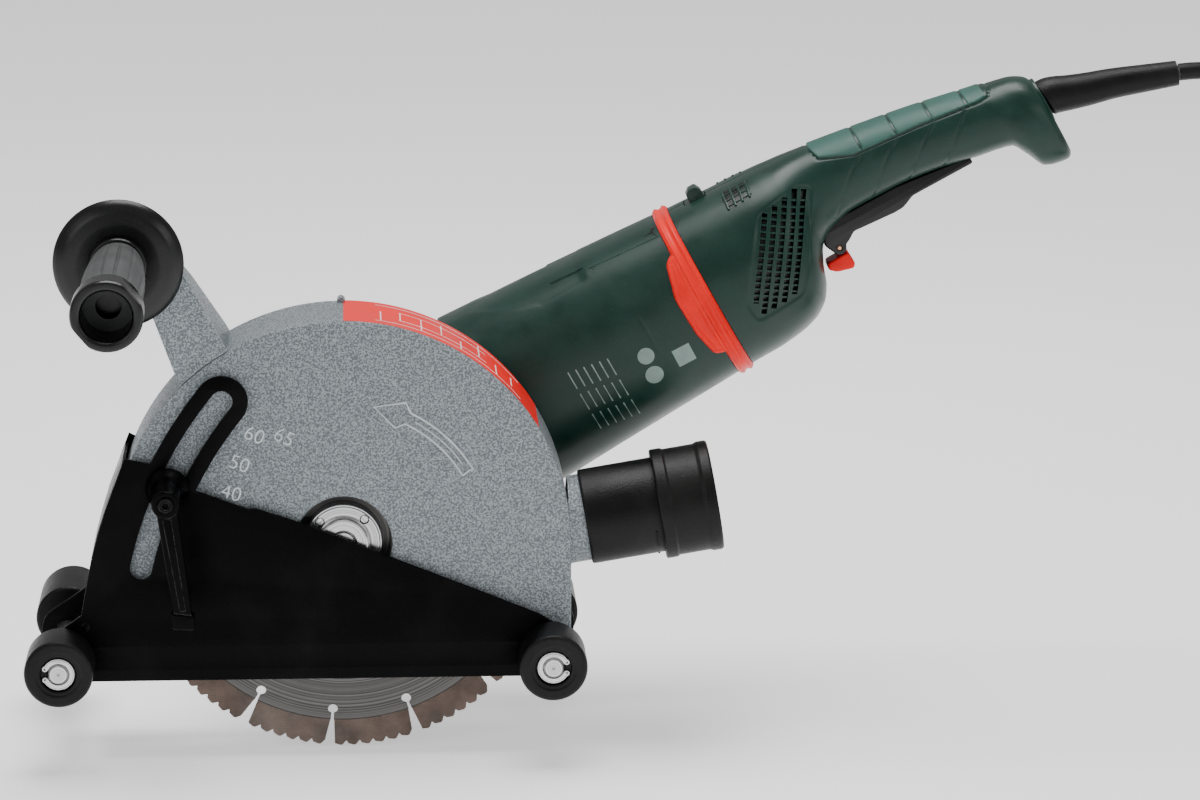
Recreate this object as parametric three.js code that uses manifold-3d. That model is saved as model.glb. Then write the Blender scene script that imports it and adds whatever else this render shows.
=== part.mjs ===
// A wall chaser: a 230 mm angle grinder in a dust hood, on an adjustable depth guide with rollers.
// Units are millimetres. +X runs along the travel direction to the motor end, +Y away from the
// operator's face of the hood, +Z up. The origin is on the spindle axis, in the hood's front face.
import * as THREE from 'three';
import { mergeVertices } from 'three/addons/utils/BufferGeometryUtils.js';
import Module from 'manifold-3d';

const wasm = await Module();
wasm.setup();

// ---------------------------------------------------------------- driving dimensions
const GAP = 0.3; // clearance kept between touching pieces
const RUN = 0.2; // radial clearance of a shaft that turns in a bore

const HOOD_R = 120; // outside radius of the drum
const HOOD_DEPTH = 50; // face to back
const HOOD_WALL = 3;
const HUB_OPENING_R = 25.5; // hole in the face over the flange nut
const HOOD_LEFT_BOTTOM = -28; // height where the left wall of the drum ends

const BLADE_R = 115;
const BLADE_Y = 12; // middle plane of the blade
const CORE_R = 101;
const SEGMENTS = 15;
const BLADE_THICK = 2.6;
const BLADE_BORE_R = 11.1;
const KEYHOLE_R = 2.9;
const KEYHOLE_AT = 95;
const GULLET_ANGLE = -94; // direction of one gullet, degrees from +X

const MOTOR_Y = 105; // depth of the motor axis
const MOTOR_TILT = 29.5; // the motor axis rises this many degrees from +X
const RING_U = 222.3; // start of the damping ring along the motor axis
const HANDLE_U = 231.3; // start of the rear handle along the motor axis

const AXLE_Z = -60.5;
const REAR_X = 109.3; // rear axle, which is also the pivot of the depth guide
const FRONT_X = -149;
const AXLE_R = 5.5;
const ROLLER_R = 18;
const SHEET = 1.9; // guide plate thickness; it stays clear of a disc set on the spindle's end
const END_SHEET = 1.5; // thickness of the guide's folded end
const NEAR_PLATE_Y = -4;
const FAR_PLATE_Y = 51;
const GUIDE_BOTTOM = -73;
const SLOT_R = 221; // radius of the curved slot about the rear axle
const SLOT_HALF = 5.8;
const SLOT_LOW = 12.75; // slot ends, degrees above the line that runs forward from the rear axle
const SLOT_HIGH = 38.9;
const BOLT_ANGLE = 24.8;

const ARM_START = 134.5; // the side arm's foot on the rim, degrees from +X
const ARM_END = 119.5;
const GRIP_X = -114.5; // side handle axis
const GRIP_Z = 152;
const STUD_R = 6;

const CORD_R = 4.7;
const FLOOR_Z = -BLADE_R; // the level that the blade's rim and the lead lie on
const COIL_X = 564.4;
const COIL_Y = 20;
const COIL_MEAN_R = 50;

// ---------------------------------------------------------------- finishes
const finish = (color, roughness, metalness = 0) =>
  new THREE.MeshStandardMaterial({ color, roughness, metalness });
const HAMMER_SILVER = finish(0x969da2, 0.5, 0.6);
const CAST_ALUMINIUM = finish(0xa0a3a5, 0.45, 0.9);
const BODY_GREEN = finish(0x1c4036, 0.45);
const SOFT_GREEN = finish(0x35564b, 0.8);
const SIGNAL_RED = finish(0xeb3a32, 0.4);
const BLACK_PLASTIC = finish(0x0c0d0e, 0.5);
const BLACK_PAINT = finish(0x070707, 0.4);
const BLACK_RUBBER = finish(0x111111, 0.85);
const BRIGHT_STEEL = finish(0xc9cacb, 0.25, 1);
const BLADE_STEEL = finish(0x8f8f8c, 0.35, 1);
const COPPER = finish(0xb8734a, 0.35, 1);
const CORE_IRON = finish(0x5c5f63, 0.5, 0.9);
const CARBON = finish(0x2a2a2b, 0.7);

// ---------------------------------------------------------------- shape helpers
const rad = THREE.MathUtils.degToRad;

// A closed solid from a geometry, with its faces turned outwards.
function solid(geometry) {
  const bare = geometry.clone();
  for (const name of Object.keys(bare.attributes)) {
    if (name !== 'position') bare.deleteAttribute(name);
  }
  const merged = mergeVertices(bare, 1e-4);
  const points = merged.attributes.position.array;
  const index = dropFlatFaces(Uint32Array.from(merged.index.array));
  if (signedVolume(points, index) < 0) {
    for (let i = 0; i < index.length; i += 3) {
      [index[i], index[i + 1]] = [index[i + 1], index[i]];
    }
  }
  const mesh = new wasm.Mesh({ numProp: 3, vertProperties: Float32Array.from(points), triVerts: index });
  return new wasm.Manifold(mesh);
}

// Removes triangles that use a point twice, which poles and closed profiles leave behind.
function dropFlatFaces(index) {
  const kept = [];
  for (let i = 0; i < index.length; i += 3) {
    const [a, b, c] = index.slice(i, i + 3);
    if (a !== b && b !== c && c !== a) kept.push(a, b, c);
  }
  return Uint32Array.from(kept);
}

function signedVolume(points, index) {
  const at = (i) => new THREE.Vector3().fromArray(points, 3 * i);
  let volume = 0;
  for (let i = 0; i < index.length; i += 3) {
    volume += at(index[i]).dot(at(index[i + 1]).cross(at(index[i + 2]))) / 6;
  }
  return volume;
}

// A solid of revolution about Y through (x, z). The profile lists [radius, y] pairs.
function turned(profile, x = 0, z = 0, sides = 20) {
  const points = profile.map(([r, y]) => new THREE.Vector2(r, y));
  return solid(new THREE.LatheGeometry(points, sides).translate(x, 0, z));
}

// A ring or tube about Y, as a closed rectangular profile.
function ring(inner, outer, y0, y1, x = 0, z = 0, sides = 20) {
  return turned([[inner, y0], [outer, y0], [outer, y1], [inner, y1], [inner, y0]], x, z, sides);
}

// A plain round bar about Y.
function bar(r, y0, y1, x = 0, z = 0, sides = 16) {
  return turned([[0, y0], [r, y0], [r, y1], [0, y1]], x, z, sides);
}

// The same three shapes about the motor axis, which is X inside the motor group.
const alongX = (body) => body.rotate([0, 0, -90]);
const turnedX = (profile, sides = 20) => alongX(turned(profile, 0, 0, sides));
const barX = (r, x0, x1, sides = 20) => turnedX([[0, x0], [r, x0], [r, x1], [0, x1]], sides);
const ringX = (inner, outer, x0, x1, sides = 20) => alongX(ring(inner, outer, x0, x1, 0, 0, sides));

// A sheet or block with its outline in the XZ plane, from y0 to y1.
function plate(shape, y0, y1, curveSegments = 12) {
  const geometry = new THREE.ExtrudeGeometry(shape, { depth: y1 - y0, bevelEnabled: false, curveSegments });
  return solid(geometry.rotateX(Math.PI / 2).translate(0, y1, 0));
}

function outline(points) {
  return new THREE.Shape(points.map(([x, z]) => new THREE.Vector2(x, z)));
}

function block(x0, x1, y0, y1, z0, z1) {
  const geometry = new THREE.BoxGeometry(x1 - x0, y1 - y0, z1 - z0);
  return solid(geometry.translate((x0 + x1) / 2, (y0 + y1) / 2, (z0 + z1) / 2));
}

// A body along X through oval sections. A section is [x, low z, high z, half width in y].
function loft(sections, power = 2.5, sides = 24) {
  const last = sections.length - 1;
  const geometry = new THREE.CylinderGeometry(1, 1, 1, sides, last);
  const place = geometry.attributes.position;
  const round = (value) => Math.sign(value) * Math.abs(value) ** (2 / power);
  for (let i = 0; i < place.count; i += 1) {
    const [x, low, high, half] = sections[Math.round((0.5 - place.getY(i)) * last)];
    const across = round(place.getX(i)) * half;
    const up = (low + high) / 2 + round(place.getZ(i)) * (high - low) / 2;
    place.setXYZ(i, x, across, up);
  }
  return solid(geometry);
}

// A tube whose radius changes along a curve that stays in a plane of constant y.
function taperedTube(points, radii, sides = 14) {
  const curve = new THREE.CatmullRomCurve3(points);
  const last = radii.length - 1;
  const geometry = new THREE.CylinderGeometry(1, 1, 1, sides, last);
  const place = geometry.attributes.position;
  for (let i = 0; i < place.count; i += 1) {
    const row = Math.round((0.5 - place.getY(i)) * last);
    const centre = curve.getPoint(row / last);
    const along = curve.getTangent(row / last);
    const side = new THREE.Vector3(0, 1, 0);
    const up = new THREE.Vector3().crossVectors(along, side).normalize();
    const spot = centre.addScaledVector(side, place.getX(i) * radii[row]);
    spot.addScaledVector(up, place.getZ(i) * radii[row]);
    place.setXYZ(i, spot.x, spot.y, spot.z);
  }
  return solid(geometry);
}

// A cord of even thickness along a list of points.
function cordTube(points, r, steps) {
  const curve = new THREE.CatmullRomCurve3(points);
  const section = new THREE.Shape();
  const sides = 8;
  for (let i = 0; i < sides; i += 1) {
    const turn = (2 * Math.PI * (i + 0.5)) / sides;
    const corner = [r * Math.cos(turn), r * Math.sin(turn)];
    if (i === 0) section.moveTo(...corner);
    else section.lineTo(...corner);
  }
  return solid(new THREE.ExtrudeGeometry(section, { steps, extrudePath: curve, bevelEnabled: false }));
}

function part(name, body, material) {
  const made = body.getMesh();
  const geometry = new THREE.BufferGeometry();
  geometry.setAttribute('position', new THREE.BufferAttribute(made.vertProperties, 3));
  geometry.setIndex(new THREE.BufferAttribute(made.triVerts, 1));
  const mesh = new THREE.Mesh(geometry, material);
  mesh.name = name;
  return mesh;
}

const polar = (cx, cz, r, degrees) => [
  cx + r * Math.cos(rad(degrees)),
  cz + r * Math.sin(rad(degrees)),
];
// A point on an arc about the guide's pivot, at an angle above the forward line.
const aboutPivot = (r, degrees) => polar(REAR_X, AXLE_Z, r, 180 - degrees);

// ---------------------------------------------------------------- hood
function hoodShape(inset) {
  const r = HOOD_R - inset;
  const shape = new THREE.Shape();
  shape.moveTo(r, AXLE_Z);
  shape.lineTo(r, 0);
  shape.absarc(0, 0, r, 0, Math.PI, false);
  shape.lineTo(-r, HOOD_LEFT_BOTTOM);
  shape.absarc(REAR_X, AXLE_Z, HOOD_R - REAR_X, rad(-100), 0, false);
  return shape;
}

const NOZZLE_TILT = 9.5;
const NOZZLE_START = [112, 24.5, 3.6];
const STUB_R = 23.2;
const STUB_BORE = 20.4;
const STUB_END = 44;
const SHELL_BACK = HOOD_DEPTH - 4; // where the front shell ends and the rear plate starts
const EAR_DEPTH = 9;
const BOLT_R = 4;
// Moves a solid made along +X from the origin onto the hose stub's axis.
const ontoStub = (body) => body.rotate([0, -NOZZLE_TILT, 0]).translate(NOZZLE_START);

const BOLT = aboutPivot(SLOT_R, BOLT_ANGLE);

function hoodFrontShell() {
  const inside = HOOD_R - HOOD_WALL;
  const openEnd = -2 * HOOD_R;
  const hollow = new THREE.Shape();
  hollow.moveTo(inside, openEnd);
  hollow.lineTo(inside, 0);
  hollow.absarc(0, 0, inside, 0, Math.PI, false);
  hollow.lineTo(-inside, openEnd);
  const cavity = plate(hollow, HOOD_WALL, SHELL_BACK + 1, 26);
  const stub = ontoStub(ringX(STUB_BORE, STUB_R, 5, STUB_END, 28))
    .subtract(block(60, HOOD_R + 0.6, SHELL_BACK, 60, -60, 60))
    .subtract(block(60, HOOD_R - 1, -20, 60, -60, 60));
  const body = plate(hoodShape(0), 0, SHELL_BACK, 26)
    .subtract(cavity)
    .add(stub)
    .subtract(ontoStub(barX(STUB_BORE, 0, STUB_END + 16, 28)))
    .add(ring(AXLE_R + RUN, HOOD_R - REAR_X, HOOD_WALL - 1, EAR_DEPTH, REAR_X, AXLE_Z))
    .subtract(bar(HUB_OPENING_R, -1, HOOD_WALL + 1, 0, 0, 32))
    .subtract(bar(AXLE_R + RUN, -1, EAR_DEPTH + 10, REAR_X, AXLE_Z))
    .subtract(bar(BOLT_R + GAP, -1, HOOD_WALL + 1, ...BOLT));
  return part('hood_front_shell', body, HAMMER_SILVER);
}

function hoodRearPlate() {
  const body = plate(hoodShape(0), SHELL_BACK + GAP, HOOD_DEPTH, 26)
    .subtract(bar(24, 40, 60, 0, 0, 24))
    .subtract(bar(AXLE_R + RUN, 40, 60, REAR_X, AXLE_Z))
    .subtract(block(HOOD_R - 1.2, HOOD_R + 5, 40, 60, -26, 34));
  return part('hood_rear_plate', body, HAMMER_SILVER);
}

function hoseSleeve() {
  const bore = STUB_R + GAP;
  const profile = [[bore, 16.5], [25.4, 16.5], [25.4, 59], [STUB_R - 1, 59], [STUB_R - 1, STUB_END + 1],
    [bore, STUB_END + 1], [bore, 16.5]];
  return part('hose_sleeve', ontoStub(turnedX(profile, 24)), BLACK_RUBBER);
}

function hoseSocket() {
  const profile = [[25.8, 56], [29.4, 56], [29.4, 62], [28.6, 63], [28.6, 80], [29.4, 81.5], [29.4, 87],
    [24.5, 87], [24.5, 59.4], [25.8, 59.4], [25.8, 56]];
  return part('hose_socket', ontoStub(turnedX(profile, 24)), BLACK_RUBBER);
}

// ---------------------------------------------------------------- side handle
function sideHandleArm() {
  const shape = new THREE.Shape();
  const rim = HOOD_R + GAP;
  shape.absarc(0, 0, rim, rad(ARM_START), rad(ARM_END), true);
  shape.lineTo(-78, 140);
  shape.lineTo(-93, 163);
  shape.absarc(GRIP_X, GRIP_Z, 16, rad(48), rad(235), false);
  shape.lineTo(-98, 124);
  const sideView = outline([[-1, 60], [49.5, 60], [49.5, 106], [17.5, 150], [17.5, 190], [-1, 190]]);
  const profile = new THREE.ExtrudeGeometry(sideView, { depth: 120, bevelEnabled: false });
  const gusset = solid(profile.rotateX(Math.PI / 2).rotateZ(Math.PI / 2).translate(-150, 0, 0));
  const body = plate(shape, 0, HOOD_DEPTH - 0.5)
    .intersect(gusset)
    .subtract(bar(STUD_R + GAP, -2, 20, GRIP_X, GRIP_Z));
  return part('side_handle_arm', body, HAMMER_SILVER);
}

function handGuard() {
  const profile = [[7, -5], [13, -7.5], [22, -8.5], [30, -7], [33.8, -3.5], [33.8, -1.6], [31, -3],
    [22, -5.2], [13, -3.6], [12, -GAP], [7, -GAP], [7, -5]];
  return part('hand_guard', turned(profile, GRIP_X, GRIP_Z, 24), BLACK_PLASTIC);
}

function sideGrip() {
  const profile = [[6.5, -12], [13.5, -12], [14, -20], [15.5, -45], [16, -70], [15.2, -100], [16.8, -106],
    [18.2, -110], [18.2, -124], [17, -126], [12.8, -126], [12.8, -92], [0, -92], [0, -62], [6.5, -62],
    [6.5, -12]];
  const body = turned(profile, GRIP_X, GRIP_Z, 20);
  const flats = [40, 220].map((turn) => {
    const cut = block(16.6, 30, -130, -107, -30, 30).rotate([0, -turn, 0]);
    return cut.translate([GRIP_X, 0, GRIP_Z]);
  });
  return part('side_grip', body.subtract(flats[0]).subtract(flats[1]), BLACK_PLASTIC);
}

function handleStud() {
  return part('handle_stud', bar(STUD_R, -55, 16.5, GRIP_X, GRIP_Z, 16), BRIGHT_STEEL);
}

// ---------------------------------------------------------------- blade and spindle
function diamondBlade() {
  const step = 360 / SEGMENTS;
  const halfGap = 1.0;
  const shape = new THREE.Shape();
  for (let i = 0; i < SEGMENTS; i += 1) {
    const gullet = GULLET_ANGLE + i * step;
    const [kx, kz] = polar(0, 0, KEYHOLE_AT, gullet);
    const slotSide = (side) => polar(0, 0, KEYHOLE_AT + KEYHOLE_R - 0.4, gullet + side * 0.7);
    if (i === 0) shape.moveTo(...polar(0, 0, BLADE_R, gullet - halfGap));
    shape.lineTo(...polar(0, 0, CORE_R, gullet - 0.9));
    shape.lineTo(...slotSide(-1));
    for (const turn of [-140, -200, -260]) {
      shape.lineTo(...polar(kx, kz, KEYHOLE_R, gullet + turn + 20));
    }
    shape.lineTo(...slotSide(1));
    shape.lineTo(...polar(0, 0, CORE_R, gullet + 0.9));
    for (let k = 0; k <= 3; k += 1) {
      shape.lineTo(...polar(0, 0, BLADE_R, gullet + halfGap + ((step - 2 * halfGap) * k) / 3));
    }
  }
  const core = plate(shape, BLADE_Y - BLADE_THICK / 2, BLADE_Y + BLADE_THICK / 2);
  const body = core.subtract(bar(BLADE_BORE_R, 0, 30, 0, 0, 24));
  return part('diamond_blade', body, BLADE_STEEL);
}

function flangeNut() {
  const back = BLADE_Y - BLADE_THICK / 2 - GAP;
  let body = turned([[7 + GAP, -0.5], [13, -0.5], [13, 3], [20.5, 3], [20.5, back], [7 + GAP, back],
    [7 + GAP, -0.5]], 0, 0, 24);
  for (const angle of [-45, 45, 135, 225]) {
    body = body.subtract(bar(2.6, 0, 7, ...polar(0, 0, 16.6, angle + 3), 8));
  }
  return part('flange_nut', body, BRIGHT_STEEL);
}

function innerFlange() {
  const back = BLADE_Y + BLADE_THICK / 2 + GAP;
  const disc = ring(7 + GAP, 20.5, back, back + 6, 0, 0, 24);
  const body = disc.add(ring(7 + GAP, 10.8, BLADE_Y - 1, back + 1, 0, 0, 24));
  return part('inner_flange', body, BRIGHT_STEEL);
}

function spindle() {
  const profile = [[0, 0], [5.6, 0], [7, 1.4], [7, 20], [8.7, 20], [8.7, 92], [6, 92], [6, 126], [0, 126]];
  return part('spindle', turned(profile, 0, 0, 20), BRIGHT_STEEL);
}

// A straight-toothed wheel about Y.
function toothedWheel(teeth, root, tip, y0, y1) {
  const shape = new THREE.Shape();
  const pitch = 360 / teeth;
  const flanks = [[0, root], [0.18, tip], [0.45, tip], [0.63, root]];
  for (let i = 0; i < teeth; i += 1) {
    for (const [share, r] of flanks) {
      const corner = polar(0, 0, r, pitch * (i + share));
      if (i === 0 && share === 0) shape.moveTo(...corner);
      else shape.lineTo(...corner);
    }
  }
  return plate(shape, y0, y1);
}

function crownGear() {
  const body = toothedWheel(37, 31.5, 34, 87, 95.4).add(bar(20, 80, 88)).subtract(bar(8.7 + GAP, 70, 100));
  return part('crown_gear', body, CORE_IRON);
}

function spindleBearing() {
  return part('spindle_bearing', ring(8.7 + GAP, 17.6, 58, 70), BRIGHT_STEEL);
}

// ---------------------------------------------------------------- gear housing
function gearCover() {
  const body = ring(14, 36, HOOD_DEPTH + GAP, 56).add(ring(17.9, 23, 50.5, 70));
  return part('gear_cover', body, CAST_ALUMINIUM);
}

function gearHousing() {
  const barrel = turned([[0, 56.3], [44, 56.3], [46, 62], [46, 146], [40, 152], [0, 152]], 0, 0, 24);
  const neck = ontoMotorAxis(loft([[10, -44, 44, 40], [60, -48, 50, 44], [91.7, -51.5, 54, 46]]));
  const cavity = turned([[0, 50], [38, 50], [38, 140], [0, 140]], 0, 0, 24);
  const bore = ontoMotorAxis(barX(18.2, 20, 66));
  const mouth = ontoMotorAxis(loft([[66, -42, 42, 38], [95, -45, 45, 40]]));
  let body = barrel.add(neck).subtract(cavity).subtract(bore).subtract(mouth);
  body = body.subtract(ontoMotorAxis(block(-14.5, -5.5, -4.5, 4.5, 0, 60)));
  body = body.subtract(bar(6 + RUN, 130, 160));
  return part('gear_housing', body, CAST_ALUMINIUM);
}

// Places a solid made along X onto the motor axis.
function ontoMotorAxis(body) {
  return body.rotate([0, -MOTOR_TILT, 0]).translate([0, MOTOR_Y, 0]);
}

function spindleLockButton() {
  const body = block(-14, -6, -4, 4, 34, 49).add(block(-15.5, -4.5, -5.5, 5.5, 48.6, 52));
  return part('spindle_lock_button', body, BLACK_PLASTIC);
}

// ---------------------------------------------------------------- motor, about the motor group's X axis
const HOUSING = [[92, -52, 57, 47], [108, -51.8, 56, 48.5], [150, -50, 53.6, 48], [190, -48.4, 51, 47],
  [222, -47.2, 48.6, 46]];
const RING_RISE = 2.2; // how far the damping ring and its pad stand out
const grown = (sections, by) =>
  sections.map(([x, low, high, half]) => [x, low - by, high + by, half + by]);

function motorHousing() {
  const inner = [[80, -47, 51, 43], [150, -46, 49, 43.5], [230, -43, 44.5, 42]];
  return part('motor_housing', loft(HOUSING).subtract(loft(inner)), BODY_GREEN);
}

function dampingRing() {
  const atMotor = [-47.2, 48.6, 46];
  const atHandle = [-47, 48.2, 45];
  const outside = [[RING_U, ...atMotor], [HANDLE_U - GAP, ...atHandle]];
  const inside = [[RING_U - 1, ...atMotor], [HANDLE_U + 1, ...atHandle]];
  const band = loft(grown(outside, RING_RISE)).subtract(loft(grown(inside, -4)));
  const pad = loft(grown(HOUSING, RING_RISE))
    .subtract(loft(grown(HOUSING, GAP)))
    .intersect(block(213, RING_U - GAP, -80, -20, -34, 29));
  const overlapping = [...HOUSING.slice(0, -1), [RING_U + 4, ...atMotor]];
  const bridge = block(RING_U - 1, RING_U + 1, -49.6, -46.4, -20, 20)
    .intersect(loft(grown(overlapping, RING_RISE)));
  return part('damping_ring', band.add(pad).add(bridge), SIGNAL_RED);
}

function armature() {
  const shaft = [[0, 22], [4, 22], [4, 40], [5, 40], [5, 215], [0, 215]];
  return [
    part('armature_shaft', turnedX(shaft), BRIGHT_STEEL),
    part('pinion_gear', alongX(toothedWheel(10, 6, 7.8, 24, 38).subtract(bar(4 + GAP, 0, 60))), CORE_IRON),
    part('armature_bearing_front', ringX(5 + GAP, 17.6, 46, 60), BRIGHT_STEEL),
    part('cooling_fan', coolingFan(), BLACK_PLASTIC),
    part('rotor_core', toothedRotor(), CORE_IRON),
    part('commutator', ringX(5 + GAP, 13, 185, 202, 30), COPPER),
    part('armature_bearing_rear', ringX(5 + GAP, 11, 205, 213), BRIGHT_STEEL),
  ];
}

function coolingFan() {
  let body = ringX(5 + GAP, 12, 98, 113).add(ringX(11, 37, 98, 100.4));
  for (let i = 0; i < 12; i += 1) {
    body = body.add(block(100, 112, -1, 1, 15, 37).rotate([i * 30, 0, 0]));
  }
  return body;
}

function toothedRotor() {
  let body = ringX(5 + GAP, 23.5, 122, 176);
  for (let i = 0; i < 12; i += 1) {
    body = body.subtract(block(120, 180, -1, 1, 19, 26).rotate([i * 30, 0, 0]));
  }
  return body;
}

function stator() {
  const body = ringX(24.5, 40, 124, 174).subtract(block(120, 180, -60, 60, 34, 60));
  return part('stator', body.subtract(block(120, 180, -60, 60, -60, -34)), CORE_IRON);
}

function bearingBracket() {
  const disc = ringX(11.4, 38, 205, 212).subtract(block(200, 216, -40, 40, 18, 60));
  return part('bearing_bracket', disc.subtract(block(200, 216, -40, 40, -60, -18)), CAST_ALUMINIUM);
}

function carbonBrush(name, side) {
  const reach = [13.4, 30].map((distance) => side * distance);
  return part(name, block(189, 197, Math.min(...reach), Math.max(...reach), -4, 4), CARBON);
}

// ---------------------------------------------------------------- rear handle
const HANDLE = [[HANDLE_U, -47, 48, 44.5], [245, -47, 47.2, 44], [260, -45.8, 46.4, 43],
  [272, -43, 45.8, 41.5], [281, -37.5, 45.3, 39], [287, -29, 44.8, 36], [291, -18, 44.4, 33],
  [297, -8, 44, 28], [306, -3, 43, 24], [320, -0.5, 41, 21.5], [345, -1, 37, 20.5],
  [370, -4, 32.6, 20], [390, -8.5, 28.5, 20], [404, -11, 25.4, 20], [411, -13, 24, 20],
  [416, -21, 22.8, 20], [421, -31, 21.8, 20], [427, -33.6, 20.2, 20], [435, -34.8, 15.5, 18.5],
  [438.3, -33.5, 10.5, 16]];
const HANDLE_WALL = 3;
const END_WALL = 6; // extra thickness under the handle's thick end
const END_U = 410;
const handleLoft = (sections) => loft(sections, 2.4, 18);

// Every second section of the handle is enough for its hollow, apart from the thick end.
function handleHollow() {
  const chosen = HANDLE.slice(0, -2).filter((_, i) => i % 2 === 0 || i > 14);
  const inner = grown(chosen, -HANDLE_WALL);
  inner[0][0] -= 4;
  return inner.map(([x, low, high, half]) => [x, x > END_U ? low + END_WALL : low, high, half]);
}

function handleSolid() {
  const skin = handleLoft(HANDLE).subtract(handleLoft(handleHollow()));
  const triggerSlot = block(288.5, 390, -9.6, 9.6, -40, 6);
  const latchHole = block(240.5, 253.5, -6, 6, 30, 60);
  const insertSeat = block(306, 400, -14, 14, 22, 60).subtract(handleLoft(grown(HANDLE, -2.2)));
  const sleeveHole = barX(8.6, 405, 450);
  return skin.subtract(triggerSlot).subtract(latchHole).subtract(insertSeat).subtract(sleeveHole);
}

// The vent's slots in each side: [x, z, half length] of each, in the motor frame.
const VENT_SLOTS = [[262.9, 8.7, 24], [266.8, 5.3, 29], [273.1, 5.4, 29.5], [279.8, 5.8, 29.8],
  [285.4, 4.8, 27.5]];
const VENT_LEAN = 35.4;
const VENT_HALF_WIDTH = 1.55;

function ventSlots() {
  return VENT_SLOTS.map(([x, z, half]) => {
    const slot = block(-VENT_HALF_WIDTH, VENT_HALF_WIDTH, -60, 60, -half, half);
    return slot.rotate([0, VENT_LEAN, 0]).translate([x, 0, z]);
  });
}

function handleShells() {
  let body = handleSolid();
  for (const slot of ventSlots()) body = body.subtract(slot);
  const near = body.intersect(block(200, 460, -80, -GAP / 2, -80, 80));
  const far = body.intersect(block(200, 460, GAP / 2, 80, -80, 80));
  return [part('handle_shell_near', near, BODY_GREEN), part('handle_shell_far', far, BODY_GREEN)];
}

function gripInsert() {
  const body = handleLoft(grown(HANDLE, 0.2)).subtract(handleLoft(grown(HANDLE, -1.9)));
  return part('grip_insert', body.intersect(block(306.3, 399.7, -13.7, 13.7, 22, 60)), SOFT_GREEN);
}

function latchButton() {
  const body = block(241, 253, -5.5, 5.5, 36, 48).add(block(242.5, 251.5, -4.5, 4.5, 47, 53.5));
  return part('handle_latch_button', body, BODY_GREEN);
}

const LOCK_PIN = [302.5, -14.9];
const LOCK_PIN_R = 1.4;
const lockPinBore = () => bar(LOCK_PIN_R + GAP, -12, 12, ...LOCK_PIN, 12);

function triggerPaddle() {
  const shape = outline([[388, -9.8], [351, -9.4], [343.5, -12.6], [338, -12.8], [313.7, -10.8],
    [309, -14], [306.7, -14.9], [305.5, -17.9], [302.5, -19.1], [299.5, -17.9], [298.3, -14.9],
    [296, -10], [298, -3.5], [312, 0.5], [345, 0], [380, -4.4], [388, -6.6]]);
  const body = plate(shape, -8.6, 8.6)
    .subtract(block(290, 308.5, -3.4, 3.4, -30, -8))
    .subtract(lockPinBore());
  return part('trigger_paddle', body, BLACK_PLASTIC);
}

function lockOffLever() {
  const pad = outline([[292.6, -19.4], [305.4, -19.4], [306, -27], [304, -29], [295, -26.4], [291.4, -23]]);
  const arm = outline([[299, -26], [305.5, -26], [305.5, -12], [299.5, -12]]);
  const body = plate(pad, -7.5, 7.5).add(plate(arm, -3, 3)).subtract(lockPinBore());
  return part('lock_off_lever', body, SIGNAL_RED);
}

function lockPin() {
  return part('lock_pin', bar(LOCK_PIN_R, -8.5, 8.5, ...LOCK_PIN, 12), COPPER);
}

function switchBlock() {
  return part('switch_block', block(306, 348, -10, 10, 12, 30), BLACK_PLASTIC);
}

// ---------------------------------------------------------------- cable, plug
function cableSleeve() {
  const path = [[442.2, 0], [452, -3.6], [462, -7], [475, -11], [490, -16.6], [508, -23.4]];
  const points = path.map(([x, z]) => new THREE.Vector3(x, 0, z));
  const radii = [10.6, 9.8, 9, 8.6, 8.4, 8.2, 8, 7.7, 7.4, 7.1, 6.8];
  const neck = barX(8, 414, 444);
  return part('cable_sleeve', taperedTube(points, radii).add(neck), BLACK_RUBBER);
}

function powerCord() {
  const points = [[454.9, 105, 230.3], [466, 105, 231.6], [478, 105, 230], [489, 105, 224.5], [498, 105, 215],
    [503, 105, 203], [505, 105, 188], [505, 105, 120], [505, 105, 50], [505, 105, -20], [505, 105, -60],
    [505, 102.5, -79], [505, 94, -97], [505, 80, -108], [505, 64, -110], [505, 54.8, -110.1]];
  const curve = points.map(([x, y, z]) => new THREE.Vector3(x, y, z));
  return part('power_cord', cordTube(curve, CORD_R, 34), BLACK_RUBBER);
}

function cordCoil() {
  const half = 1.5 * 2 * CORD_R;
  const height = 4 * 2 * CORD_R;
  const profile = [[COIL_MEAN_R - half, 0], [COIL_MEAN_R + half, 0], [COIL_MEAN_R + half, height],
    [COIL_MEAN_R - half, height], [COIL_MEAN_R - half, 0]];
  const points = profile.map(([r, z]) => new THREE.Vector2(r, z));
  const body = solid(new THREE.LatheGeometry(points, 32)).rotate([90, 0, 0]);
  return part('cord_coil', body.translate([COIL_X, COIL_Y, FLOOR_Z]), BLACK_RUBBER);
}

const COIL_TOP = FLOOR_Z + 8 * CORD_R;
const PLUG_Y = COIL_Y + 6;
const PLUG_Z = COIL_TOP + 14.2;

function cordTail() {
  const points = [];
  const steps = 6;
  for (let i = 0; i <= steps; i += 1) {
    const share = i / steps;
    const [x, y] = polar(COIL_X, COIL_Y, COIL_MEAN_R, -60 + 60 * share);
    const rise = share * share * (3 - 2 * share);
    const low = COIL_TOP + CORD_R + GAP;
    points.push(new THREE.Vector3(x, y, low + (PLUG_Z - low) * rise));
  }
  points.push(new THREE.Vector3(COIL_X + COIL_MEAN_R, PLUG_Y - GAP, PLUG_Z));
  return part('cord_tail', cordTube(points, CORD_R, 10), BLACK_RUBBER);
}

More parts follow.
